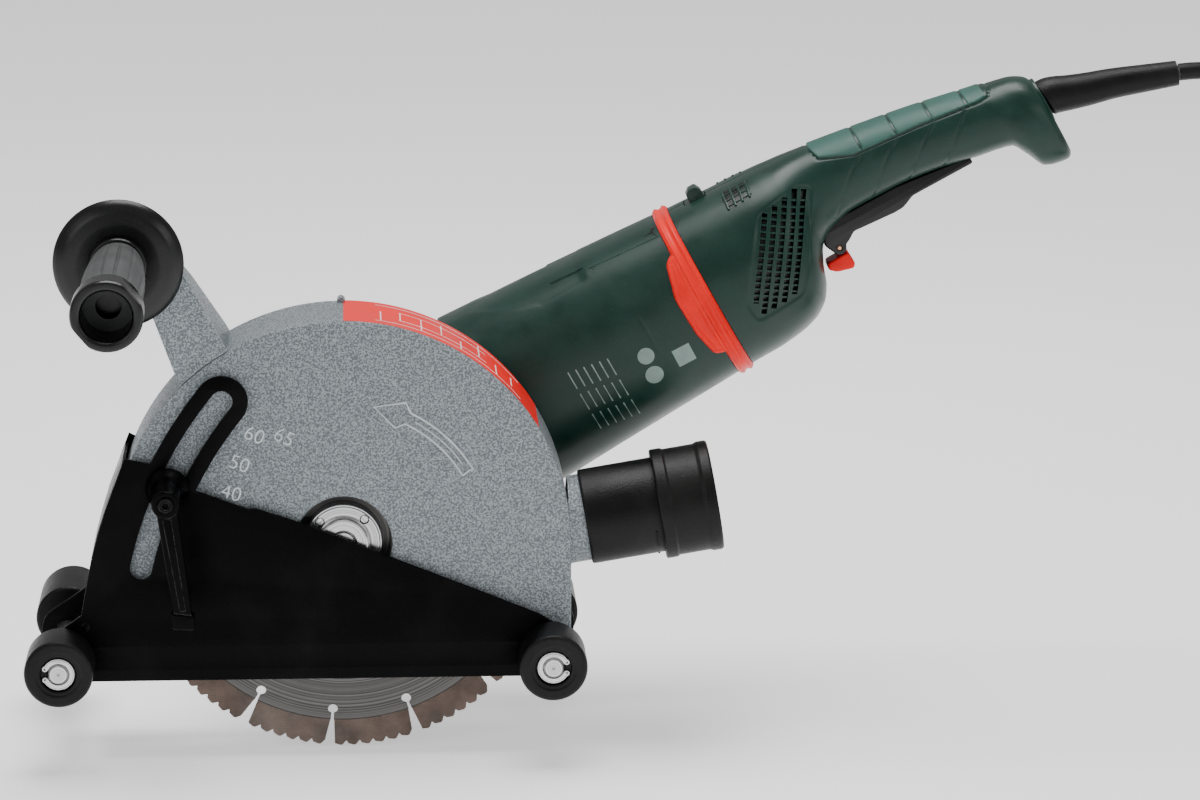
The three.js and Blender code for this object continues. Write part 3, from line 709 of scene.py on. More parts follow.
@cache
def worn_edge() -> NodeTree:
    """Returns the mask of edges, broken up by noise: real rubbing, and a painted highlight along the edges.
    Sameness is 1 away from any edge.
    """
    tree, given, result = new_group(
        "worn_edge",
        "ShaderNodeTree",
        {"Vector": Socket.VECTOR, "Sameness": Socket.NUMBER, "Amount": Socket.NUMBER},
        {"Mask": Socket.NUMBER},
    )
    ridge = tree.span(given.outputs["Sameness"], 0.88, 0.985, 1.0, 0.0)
    patchy = tree.span(tree.noise(given.outputs["Vector"], 260.0, 4.0, 0.65), 0.35, 0.62)
    rubbed_and_lit = tree.math("MULTIPLY", ridge, patchy)
    tree.join(tree.math("MULTIPLY", rubbed_and_lit, given.outputs["Amount"], True), result.inputs["Mask"])
    return tree.tree


@cache
def settled_dust() -> NodeTree:
    """Returns the mask of thin masonry dust, in soft clouds and fine specks."""
    tree, given, result = new_group(
        "settled_dust",
        "ShaderNodeTree",
        {"Vector": Socket.VECTOR, "Amount": Socket.NUMBER},
        {"Mask": Socket.NUMBER},
    )
    clouds = tree.span(tree.noise(given.outputs["Vector"], 18.0, 4.0, 0.6), 0.45, 0.75)
    specks = tree.span(tree.noise(given.outputs["Vector"], 1500.0, 1.0, 0.5), 0.66, 0.72)
    both = tree.math("MAXIMUM", tree.math("MULTIPLY", clouds, 0.5), tree.math("MULTIPLY", specks, 0.6))
    tree.join(tree.math("MULTIPLY", both, given.outputs["Amount"], True), result.inputs["Mask"])
    return tree.tree


@cache
def hammered() -> NodeTree:
    """Returns the hammer finish: a height, and a mask of the dark flecks between the silver dimples."""
    tree, given, result = new_group(
        "hammered",
        "ShaderNodeTree",
        {"Vector": Socket.VECTOR, "Scale": Socket.NUMBER},
        {"Height": Socket.NUMBER, "Flecks": Socket.NUMBER},
    )
    vector, scale = given.outputs["Vector"], given.outputs["Scale"]
    bend = tree.add("ShaderNodeTexNoise", {"Vector": vector, "Scale": scale, "Detail": 1.0}).outputs[1]
    shifted = tree.add("ShaderNodeVectorMath", {0: bend, 1: (0.0009, 0.0009, 0.0009)}, operation="MULTIPLY")
    moved = tree.add("ShaderNodeVectorMath", {0: vector, 1: shifted.outputs[0]}, operation="ADD").outputs[0]
    cells = tree.add("ShaderNodeTexVoronoi", {"Vector": moved, "Scale": scale}, feature="SMOOTH_F1")
    cells.inputs["Smoothness"].default_value = 0.6
    speckle = tree.noise(moved, tree.math("MULTIPLY", scale, 1.35), 2.0, 0.7)
    mixed = tree.math("ADD", tree.math("MULTIPLY", cells.outputs["Distance"], 0.5), speckle)
    tree.join(tree.span(mixed, 0.5, 0.95, 1.0, 0.0), result.inputs["Height"])
    tree.join(tree.span(mixed, 0.66, 0.8), result.inputs["Flecks"])
    return tree.tree


@cache
def lathe_marks() -> NodeTree:
    """Returns the fine rings that turning leaves about local Y: a height and a mask."""
    tree, given, result = new_group(
        "lathe_marks",
        "ShaderNodeTree",
        {"Vector": Socket.VECTOR, "Pitch": Socket.NUMBER},
        {"Height": Socket.NUMBER, "Mask": Socket.NUMBER},
    )
    split = tree.add("ShaderNodeSeparateXYZ", {0: given.outputs["Vector"]})
    x2 = tree.math("MULTIPLY", split.outputs[0], split.outputs[0])
    z2 = tree.math("MULTIPLY", split.outputs[2], split.outputs[2])
    radius = tree.math("SQRT", tree.math("ADD", x2, z2))
    place = tree.add("ShaderNodeCombineXYZ", {0: radius, 1: split.outputs[1], 2: 0.0}).outputs[0]
    ripples = tree.noise(place, tree.math("DIVIDE", 1.0, given.outputs["Pitch"]), 4.0, 0.7)
    tree.join(ripples, result.inputs["Height"])
    tree.join(tree.span(ripples, 0.35, 0.65), result.inputs["Mask"])
    return tree.tree


# ---- finishes
def rgba(color: Color) -> tuple[float, float, float, float]:
    """Returns a colour with full opacity."""
    return (*color, 1.0)


@dataclass(frozen=True)
class Finish:
    """A surface finish. Colours are linear, lengths are metres, and slot names the record's material but is
    not used.
    """

    name: str
    color: Color
    roughness: float
    metallic: float = 0.0
    coat: float = 0.0
    shine: float = 0.5
    grain_scale: float = 1400.0
    grain_depth: float = 0.00012
    mottle: float = 0.06
    edge_wear_and_highlight_color: Color = (0.3, 0.3, 0.3)
    edge_wear_and_highlight: float = 0.3
    dust: float = 0.03
    dust_color: Color = (0.45, 0.43, 0.4)
    slot: str | None = None

    def build(self, centre: Point3 = (0.0, 0.0, 0.0)) -> bpy.types.Material:
        """Makes the material, or finds it if it is already made.

        Args:
            centre: The point in millimetres that the finish's pattern is centred on.

        Returns:
            The material.
        """
        name = f"finish_{self.name}_{centre[0]:.0f}_{centre[2]:.0f}"
        if name in bpy.data.materials:
            return bpy.data.materials[name]
        material = bpy.data.materials.new(name)
        material.use_nodes = True
        tree = Tree(material.node_tree)
        shader = material.node_tree.nodes["Principled BSDF"]
        shader.inputs["Metallic"].default_value = self.metallic
        shader.inputs["Coat Weight"].default_value = self.coat
        shader.inputs["Specular IOR Level"].default_value = self.shine
        place = tree.add("ShaderNodeMapping", {"Vector": tree.add("ShaderNodeTexCoord").outputs["Object"]})
        place.inputs["Location"].default_value = [-value * MM for value in centre]
        self.dress(tree, shader, place.outputs[0])
        return material

    def bump(self, tree: Tree, shader: Node, height: Wire, depth: float) -> None:
        """Adds relief of a given depth to the shader's normal."""
        node = tree.add("ShaderNodeBump", {"Height": height, "Distance": depth, "Strength": 1.0})
        tree.join(node.outputs[0], shader.inputs["Normal"])

    def aged(self, tree: Tree, shader: Node, vector: Wire, color: object, roughness: object) -> None:
        """Lays edge rubbing and a painted edge highlight, then dust, over a colour and a roughness, and joins
        both to the shader.

        Args:
            tree: The material's tree.
            shader: Its shader node.
            vector: Where the pattern is read.
            color: The clean colour.
            roughness: The clean roughness.
        """
        rounded = tree.add("ShaderNodeBevel", {"Radius": 0.0006}, samples=4).outputs[0]
        plain = tree.add("ShaderNodeNewGeometry").outputs["Normal"]
        same = tree.add("ShaderNodeVectorMath", {0: rounded, 1: plain},
                        operation="DOT_PRODUCT").outputs["Value"]
        inputs = {"Vector": vector, "Sameness": same, "Amount": self.edge_wear_and_highlight}
        # edge mask: real rubbing together with a painted highlight line along every edge
        rubbed_and_lit = tree.group(worn_edge(), inputs).outputs["Mask"]
        dusty = tree.group(settled_dust(), {"Vector": vector, "Amount": self.dust}).outputs["Mask"]
        worn_and_lit = tree.blend(rubbed_and_lit, color, rgba(self.edge_wear_and_highlight_color))
        tree.join(tree.blend(dusty, worn_and_lit, rgba(self.dust_color)), shader.inputs["Base Color"])
        duller = tree.math("ADD", roughness, tree.math("MULTIPLY", dusty, 0.4), True)
        tree.join(duller, shader.inputs["Roughness"])

    def dress(self, tree: Tree, shader: Node, vector: Wire) -> None:
        """Joins the finish's own pattern to the shader."""
        grain = tree.group(fine_grain(), {"Vector": vector, "Scale": self.grain_scale})
        mottle = grain.outputs["Mottle"]
        darker = tuple(value * (1 - self.mottle) for value in self.color)
        lighter = tuple(min(value * (1 + self.mottle), 1.0) for value in self.color)
        color = tree.blend(mottle, rgba(darker), rgba(lighter))
        roughness = tree.span(mottle, 0.0, 1.0, self.roughness - 0.04, self.roughness + 0.05)
        self.aged(tree, shader, vector, color, roughness)
        self.bump(tree, shader, grain.outputs["Height"], self.grain_depth)


@dataclass(frozen=True)
class HammerFinish(Finish):
    """Silver hammer paint with dark flecks."""

    fleck_color: Color = (0.155, 0.175, 0.19)
    fleck_scale: float = 1000.0

    def dress(self, tree: Tree, shader: Node, vector: Wire) -> None:
        """Joins the flecks and dimples to the shader."""
        hammer = tree.group(hammered(), {"Vector": vector, "Scale": self.fleck_scale})
        color = tree.blend(hammer.outputs["Flecks"], rgba(self.color), rgba(self.fleck_color))
        roughness = tree.span(hammer.outputs["Flecks"], 0.0, 1.0, self.roughness - 0.05,
                              self.roughness + 0.12)
        self.aged(tree, shader, vector, color, roughness)
        self.bump(tree, shader, hammer.outputs["Height"], self.grain_depth)


@dataclass(frozen=True)
class TurnedFinish(Finish):
    """Bare metal with the rings that a lathe leaves about the axis along Y."""

    pitch: float = 0.0006
    dark_color: Color = (0.3, 0.3, 0.31)

    def dress(self, tree: Tree, shader: Node, vector: Wire) -> None:
        """Joins the rings to the shader."""
        marks = tree.group(lathe_marks(), {"Vector": vector, "Pitch": self.pitch})
        color = tree.blend(marks.outputs["Mask"], rgba(self.dark_color), rgba(self.color))
        roughness = tree.span(marks.outputs["Mask"], 0.0, 1.0, self.roughness + 0.1, self.roughness - 0.05)
        self.aged(tree, shader, vector, color, roughness)
        self.bump(tree, shader, marks.outputs["Height"], self.grain_depth)


class Finishes:
    """Every finish on the machine."""

    # Its near-white edge colour is a painted highlight along rims, chamfers and the arm's edges, on top of
    # real rubbing.
    hammer = HammerFinish(
        "hammer_silver", (0.37, 0.41, 0.44), 0.36, metallic=0.5, grain_depth=0.0003,
        edge_wear_and_highlight_color=(0.8, 0.82, 0.83), edge_wear_and_highlight=0.9, dust=0.05, slot="hammer_silver",
    )
    # A lighter copy of the hammer paint in the same slot: painted highlight on the raised arrow and numbers.
    raised = Finish(
        "raised_silver", (0.6, 0.64, 0.67), 0.34, metallic=0.5, grain_scale=1200.0, mottle=0.15,
        edge_wear_and_highlight=0.2, slot="hammer_silver",
    )
    green = Finish(
        "body_green", (0.003, 0.027, 0.0185), 0.33, shine=0.35, grain_scale=1600.0,
        grain_depth=0.00006, mottle=0.12, edge_wear_and_highlight_color=(0.09, 0.2, 0.16), edge_wear_and_highlight=0.35, dust=0.05,
        slot="body_green",
    )
    soft = Finish(
        "soft_grip", (0.014, 0.085, 0.063), 0.5, shine=0.5, grain_scale=2200.0, grain_depth=0.00012,
        mottle=0.1, edge_wear_and_highlight_color=(0.1, 0.2, 0.16), edge_wear_and_highlight=0.3, dust=0.06, slot="soft_grip",
    )
    red = Finish(
        "signal_red", (0.88, 0.008, 0.005), 0.36, shine=0.2, grain_scale=1500.0, grain_depth=0.00005,
        mottle=0.07, edge_wear_and_highlight_color=(0.95, 0.2, 0.15), edge_wear_and_highlight=0.4, dust=0.04, slot="signal_red",
    )
    label_red = Finish(
        "label_red", (0.92, 0.007, 0.006), 0.32, shine=0.3, grain_scale=900.0, grain_depth=0.00002,
        mottle=0.05, edge_wear_and_highlight_color=(0.95, 0.3, 0.25), edge_wear_and_highlight=0.3, dust=0.06, slot="signal_red",
    )
    ink = Finish(
        "pale_print", (0.82, 0.84, 0.82), 0.5, grain_scale=2500.0, grain_depth=0.00002, mottle=0.1,
        edge_wear_and_highlight=0.0,
    )
    faint_ink = Finish(
        "faint_print", (0.22, 0.31, 0.28), 0.5, grain_scale=2500.0, grain_depth=0.00002, mottle=0.15,
        edge_wear_and_highlight=0.0,
    )
    plastic = Finish(
        "black_plastic", (0.001, 0.0012, 0.0014), 0.24, shine=0.4, grain_scale=1700.0,
        grain_depth=0.00007, mottle=0.25, edge_wear_and_highlight_color=(0.06, 0.065, 0.07), edge_wear_and_highlight=0.4, dust=0.015,
        slot="black_plastic",
    )
    grip = Finish(
        "grip_rubber", (0.05, 0.054, 0.055), 0.5, grain_scale=1900.0, grain_depth=0.0001, mottle=0.15,
        edge_wear_and_highlight_color=(0.2, 0.21, 0.21), edge_wear_and_highlight=0.5, dust=0.1, slot="black_plastic",
    )
    rubber = Finish(
        "black_rubber", (0.0012, 0.0012, 0.0013), 0.36, shine=0.2, grain_scale=1300.0,
        grain_depth=0.00022, mottle=0.3, edge_wear_and_highlight_color=(0.06, 0.06, 0.06), edge_wear_and_highlight=0.3, dust=0.03,
        slot="black_rubber",
    )
    # Its lighter edge colour is a painted highlight that sets the black lever and plates off each other, on
    # top of real rubbing.
    paint = Finish(
        "black_paint", (0.0004, 0.0004, 0.0005), 0.28, shine=0.06, grain_scale=2300.0,
        grain_depth=0.00009, mottle=0.3, edge_wear_and_highlight_color=(0.1, 0.1, 0.105), edge_wear_and_highlight=0.8, dust=0.015,
        slot="black_paint",
    )
    steel = TurnedFinish(
        "bright_steel", (0.74, 0.74, 0.75), 0.24, metallic=1.0, grain_depth=0.00005,
        edge_wear_and_highlight_color=(0.9, 0.9, 0.9), edge_wear_and_highlight=0.4, dust=0.03, slot="bright_steel",
    )
    blade = TurnedFinish(
        "blade_steel", (0.16, 0.155, 0.15), 0.42, metallic=0.7, grain_depth=0.00005, pitch=0.0011,
        dark_color=(0.035, 0.034, 0.033), edge_wear_and_highlight_color=(0.4, 0.4, 0.4), dust=0.06, slot="blade_steel",
    )
    sinter = Finish(
        "sintered_segment", (0.15, 0.105, 0.085), 0.72, metallic=0.25, grain_scale=1500.0,
        grain_depth=0.0006, mottle=0.4, edge_wear_and_highlight_color=(0.45, 0.4, 0.36), edge_wear_and_highlight=0.6, dust=0.3,
    )
    aluminium = Finish(
        "cast_aluminium", (0.5, 0.51, 0.52), 0.42, metallic=0.85, grain_scale=900.0,
        grain_depth=0.00025, mottle=0.12, edge_wear_and_highlight_color=(0.8, 0.8, 0.8), edge_wear_and_highlight=0.6, dust=0.12,
        slot="cast_aluminium",
    )
    copper = TurnedFinish(
        "copper", (0.85, 0.45, 0.27), 0.26, metallic=1.0, grain_depth=0.00003,
        dark_color=(0.5, 0.25, 0.14), edge_wear_and_highlight_color=(0.9, 0.6, 0.4), dust=0.02, slot="copper",
    )
    iron = Finish(
        "core_iron", (0.13, 0.135, 0.14), 0.45, metallic=0.85, grain_scale=1100.0, grain_depth=0.00015,
        mottle=0.25, edge_wear_and_highlight_color=(0.4, 0.4, 0.4), edge_wear_and_highlight=0.6, dust=0.05,
    )
    # Black plastic for the guard collar, and painted shade elsewhere: the sheets behind the vents, the lining
    # of the cap's bore and the dark patches on the housing and the handle's top vent.
    recess = replace(plastic, name="recess_black", slot=None)


def dress(piece: Piece, material: bpy.types.Material) -> Piece:
    """Gives an object one material."""
    piece.data.materials.clear()
    piece.data.materials.append(material)
    return piece


def install(
    piece: Piece, finish: Finish, body: str, replaces: Sequence[str] = (),
    centre: Point3 = (0.0, 0.0, 0.0),
) -> Piece:
    """Finishes a piece and makes it ride on its body.

    Args:
        piece: The mesh or curve.
        finish: Its finish.
        body: The body it rides on.
        replaces: The plain nodes it stands for.
        centre: The point that the finish's pattern is centred on.

    Returns:
        The same object.
    """
    dress(piece, finish.build(centre))
    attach(piece, body)
    if replaces:
        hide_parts(*replaces)
    LOG.info("%-26s rides %-20s %6d faces", piece.name, body, len(getattr(piece.data, "polygons", ())))
    return piece


# ---- repeated features
class Repeater:
    """Geometry Nodes trees that repeat an item round an axis along Y, or along a line."""

    @staticmethod
    @cache
    def around() -> NodeTree:
        """Returns the tree that repeats an item round an axis along Y."""
        inputs = {
            "Item": Socket.SHAPE,
            "Count": Socket.WHOLE,
            "Start": Socket.NUMBER,
            "Step": Socket.NUMBER,
            "Finish": Socket.MATERIAL,
        }
        tree, given, result = new_group("repeat_around", "GeometryNodeTree", inputs, {"Shape": Socket.SHAPE})
        points = tree.add("GeometryNodePoints", {"Count": given.outputs["Count"]})
        number = tree.add("GeometryNodeInputIndex").outputs[0]
        turn = tree.math("ADD", tree.math("MULTIPLY", number, given.outputs["Step"]), given.outputs["Start"])
        spin = tree.add("ShaderNodeCombineXYZ", {1: turn}).outputs[0]
        Repeater.close(tree, given, result, points, spin)
        return tree.tree

    @staticmethod
    @cache
    def along() -> NodeTree:
        """Returns the tree that repeats an item along a line."""
        inputs = {"Item": Socket.SHAPE, "Count": Socket.WHOLE, "Step": Socket.VECTOR,
                  "Finish": Socket.MATERIAL}
        tree, given, result = new_group("repeat_along", "GeometryNodeTree", inputs, {"Shape": Socket.SHAPE})
        number = tree.add("GeometryNodeInputIndex").outputs[0]
        offset = tree.add("ShaderNodeVectorMath", {0: given.outputs["Step"]}, operation="SCALE")
        tree.join(number, offset.inputs["Scale"])
        points = tree.add("GeometryNodePoints", {"Count": given.outputs["Count"],
                                                 "Position": offset.outputs[0]})
        Repeater.close(tree, given, result, points, None)
        return tree.tree

    @staticmethod
    def close(tree: Tree, given: Node, result: Node, points: Node,
              spin: Wire | None) -> None:
        """Puts the item on the points, makes it real and sets its material."""
        inputs: dict[str | int, object] = {"Points": points.outputs[0], "Instance": given.outputs["Item"]}
        if spin is not None:
            inputs["Rotation"] = spin
        placed = tree.add("GeometryNodeInstanceOnPoints", inputs)
        real = tree.add("GeometryNodeRealizeInstances", {0: placed.outputs[0]})
        inputs = {"Geometry": real.outputs[0], "Material": given.outputs["Finish"]}
        finished = tree.add("GeometryNodeSetMaterial", inputs)
        tree.join(finished.outputs[0], result.inputs["Shape"])

    @staticmethod
    def run(item: Piece, tree: NodeTree, values: dict[str, object]) -> Piece:
        """Repeats an item and turns the result into a plain mesh.

        Args:
            item: The item's object, which is used up.
            tree: One of the two trees.
            values: The tree's inputs by name.

        Returns:
            The mesh object, under the item's name.
        """
        modifier = item.modifiers.new("repeat", "NODES")
        modifier.node_group = tree
        for socket in tree.interface.items_tree:
            if socket.in_out == "INPUT" and socket.name in values:
                modifier[socket.identifier] = values[socket.name]
        return settle(item)


def spin_copies(
    item: Piece, count: int, finish: Finish, start: float = 0.0, step: float | None = None,
) -> Piece:
    """Repeats an item about the frame's Y axis.

    Args:
        item: The item, in place for an angle of zero.
        count: How many.
        finish: Its finish.
        start: Angle of the first, degrees, from +X towards +Z.
        step: Degrees between them; a full circle is shared out without it.

    Returns:
        The mesh object.
    """
    pitch = 360.0 / count if step is None else step
    values = {"Count": count, "Start": -math.radians(start), "Step": -math.radians(pitch),
              "Finish": finish.build()}
    return Repeater.run(item, Repeater.around(), values)


def row_copies(item: Piece, count: int, step: Vector, finish: Finish) -> Piece:
    """Repeats an item along a line.

    Args:
        item: The first item, in place.
        count: How many.
        step: From one to the next, in frame millimetres.
        finish: Its finish.

    Returns:
        The mesh object.
    """
    values = {"Count": count, "Step": tuple(step * MM), "Finish": finish.build()}
    return Repeater.run(item, Repeater.along(), values)


def moved(piece: Piece, place: Matrix) -> Piece:
    """Moves a mesh's points by a matrix in millimetres, so that its object stays at the origin."""
    scale = Matrix.Scale(MM, 4)
    piece.data.transform(scale @ place @ scale.inverted())
    return piece


# ---- hood
@dataclass(frozen=True)
class ExtractionHood:
    """The silver drum round the blade, with its hose stub and printed band."""

    wall: float = 3.0
    left_bottom: float = -28.0
    front_depth: float = 46.0
    hub_r: float = 25.5
    stub_r: float = 23.2
    stub_bore: float = 20.4
    band_start: float = 31.0
    band_end: float = 89.5

    def outline(self, inset: float) -> list[Point2]:
        """Returns the drum's side outline, taken in by an amount."""
        r = HOOD_R - inset
        ear = arc(REAR_X, AXLE_Z, HOOD_R - REAR_X, -100, 0, 8)
        return [*arc(0, 0, r, 0, 180, 90), (-r, self.left_bottom), *ear[:-1], (r, AXLE_Z)]

    def shell(self) -> Piece:
        """Builds the front shell with its bores, ear and hose stub."""
        eye = circle(REAR_X, AXLE_Z, AXLE_R + 0.2, 32)
        bolt = circle(*CLAMP_BOLT, 4.3, 32)
        holes = [circle(0, 0, self.hub_r, 72), eye, bolt]
        body = plate("hood_shell", [self.outline(0), *holes], 0, self.front_depth, 0.9)
        r = HOOD_R - self.wall
        hollow = [(r, -200.0), *arc(0, 0, r, 0, 180, 90), (-r, -200.0)]
        body = combine(body, plate("hollow", [hollow], self.wall, 60, 0.0), Join.CUT)
        lip = [(self.stub_bore, 5), (self.stub_r, 5), (self.stub_r, 44), (self.stub_bore, 44)]
        stub = turned("stub", lip, STUB @ ALONG_X, 64, 0.4, True)
        stub = combine(stub, block("trim", (60, -30, -60), (HOOD_R - 1.2, 60, 60)), Join.CUT)
        behind = block("behind", (60, self.front_depth - 0.1, -60), (HOOD_R + 0.6, 60, 60))
        stub = combine(stub, behind, Join.CUT)
        body = combine(body, stub, Join.ADD)
        bore = [(0, 0), (self.stub_bore, 0), (self.stub_bore, 60), (0, 60)]
        body = combine(body, turned("bore", bore, STUB @ ALONG_X, 64), Join.CUT)
        ear = [(AXLE_R + 0.2, 2), (HOOD_R - REAR_X, 2), (HOOD_R - REAR_X, 9), (AXLE_R + 0.2, 9)]
        return combine(body, turned("ear", ear, at(REAR_X, AXLE_Z), 40, closed=True), Join.ADD)

    def rear(self) -> Piece:
        """Builds the rear plate with the clearance round the hose stub."""
        holes = [circle(0, 0, 24, 64), circle(REAR_X, AXLE_Z, AXLE_R + 0.2, 32)]
        body = plate("hood_rear", [self.outline(0), *holes], self.front_depth + 0.3, HOOD_DEPTH, 0.9)
        return combine(body, block("stub_gap", (HOOD_R - 1.2, 40, -26), (HOOD_R + 5, 60, 34)), Join.CUT)

    def screws(self) -> Piece:
        """Builds the countersunk screws that hold the rear plate."""
        head = turned("rear_screws", [(0, 50.7), (2.6, 50.7), (3.6, 50.3), (3.6, 49.2), (0, 49.2)],
                      at(110, 0), 20)
        socket = plate("socket", [circle(110, 0, 1.7, 6)], 50.1, 53, 0)
        return spin_copies(combine(head, socket, Join.CUT), 7, Finishes.steel, 20, 26)

    def rim_band(self, name: str, start: float, end: float, y0: float, y1: float, out: float) -> Piece:
        """Builds a thin strip that lies on the rim between two angles."""
        rows = []
        steps = max(int((end - start) / 1.5), 1)
        for angle in (start + (end - start) * i / steps for i in range(steps + 1)):
            low, high = polar(0, 0, HOOD_R - 0.2, angle), polar(0, 0, HOOD_R + out, angle)
            rows.append([(low[0], y0, low[1]), (high[0], y0, high[1]), (high[0], y1, high[1]),
                         (low[0], y1, low[1])])
        return rings(name, rows)

    def label_lines(self) -> Piece:
        """Builds plain pale rules and scale marks on the red band."""
        lines = []
        for y in (7.0, 15.5, 33.0, 42.5):
            reach = 12.0 if y in (15.5, 33.0) else 0.0
            lines.append(self.rim_band("rule", 39.0 + reach, 81.5 - reach / 2, y, y + 0.5, 0.32))
        for step, angle in enumerate((42.0, 47.5, 53.0, 58.5, 64.0, 69.5, 75.0, 80.0)):
            low = 7.0 if step % 2 else 15.5
            lines.append(self.rim_band("mark", angle, angle + 0.3, low, low + 17.5 + step % 3 * 4, 0.32))
        return merge("label_rules", lines)

    def ridge(self, name: str, points: Sequence[Point2], radius: float = 0.55) -> Piece:
        """Builds a raised line on the drum's face."""
        return tube(name, [Vector((x, -0.05, z)) for x, z in points], radius, 8)

    def arrow(self) -> Piece:
        """Builds the raised arrow that shows which way the blade turns."""
        outer, inner = arc(0, 0, 79.0, 30, 63, 22), arc(0, 0, 72.6, 30, 63, 22)
        head = [outer[-1], (33.2, 76.2), (16.6, 73.9), (27.6, 62.6), inner[-1]]
        lines = [
            self.ridge("arrow", [*outer, *head[1:-1], *reversed(inner)]),
            self.ridge("arrow_tail", [outer[0], (66.5, 39.5), inner[0]]),
            self.ridge("arrow_middle", arc(0, 0, 75.8, 34, 60, 16), 0.35),
        ]
        return merge("hood_arrow", lines)

    def scale_numbers(self) -> Piece:
        """Builds the raised depth numbers beside the curved slot."""
        made = []
        spots = [("65", -30.5, 58.0, -26), ("60", -46.0, 59.2, -22), ("50", -54.0, 43.8, -20),
                 ("40", -58.5, 28.0, -16)]
        for text, x, z, lean in spots:
            curve = bpy.data.curves.new("number", "FONT")
            curve.body = text
            curve.size = 11.0
            curve.extrude = 0.35
            curve.offset = -0.12
            curve.align_x = curve.align_y = "CENTER"
            place = Matrix.Translation((x, 0.0, z)) @ Matrix.Rotation(-math.radians(lean), 4, "Y")
            made.append(standing("number", curve, place))
        return merge("depth_numbers", made)

    def build(self) -> None:
        """Builds and dresses the hood."""
        install(self.shell(), Finishes.hammer, "machine", ["hood_front_shell"])
        install(self.rear(), Finishes.hammer, "machine", ["hood_rear_plate"])
        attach(self.screws(), "machine")
        band = self.rim_band("hood_label", self.band_start, self.band_end, 0.9, 49.2, 0.15)
        install(band, Finishes.label_red, "machine")
        install(self.label_lines(), Finishes.ink, "machine")
        # the raised marks take the lighter silver: painted highlight
        install(self.arrow(), Finishes.raised, "machine")
        install(self.scale_numbers(), Finishes.raised, "machine")
        nub = turned("rim_nub", [(0, 44), (1.6, 44), (2.1, 44.6), (2.1, 49.3), (1.6, 49.9), (0, 49.9)],
                     at(-0.1, 121), 20)
        install(nub, Finishes.hammer, "machine")


@dataclass(frozen=True)
class HoseEnd:
    """The swivelling socket for the vacuum hose, and the sleeve that holds it."""

    sleeve_r: float = 25.4
    socket_r: float = 29.4
    waist_r: float = 28.6
    bore: float = 24.5

    def build(self) -> None:
        """Builds and dresses the hose end."""
        place = STUB @ ALONG_X
        sleeve = [(23.5, 16.5), (self.sleeve_r - 0.8, 16.5), (self.sleeve_r, 17.6), (self.sleeve_r, 59),
                  (22.2, 59), (22.2, 45), (23.5, 45)]
        install(turned("sleeve", sleeve, place, 96, 0.4, True), Finishes.rubber, "machine", ["hose_sleeve"])
        socket = [(25.8, 56), (self.socket_r - 0.5, 56), (self.socket_r, 56.8), (self.socket_r, 62),
                  (self.waist_r, 63.2), (self.waist_r, 79.5), (self.socket_r, 81.5), (self.socket_r, 86),
                  (self.socket_r - 0.8, 87), (self.bore, 87), (self.bore, 59.4), (25.8, 59.4)]
        install(turned("socket", socket, place, 96, 0.35, True), Finishes.rubber, "hose_end",
                ["hose_socket"])
        for number, angle in enumerate((150, 215, 275, 330)):
            line = [place @ Vector((25.55 * math.cos(math.radians(angle + 4 * k)), 52.5,
                                    25.55 * math.sin(math.radians(angle + 4 * k)))) for k in range(-3, 4)]
            install(tube(f"sleeve_rib_{number}", line, 0.6, 8), Finishes.rubber, "machine")


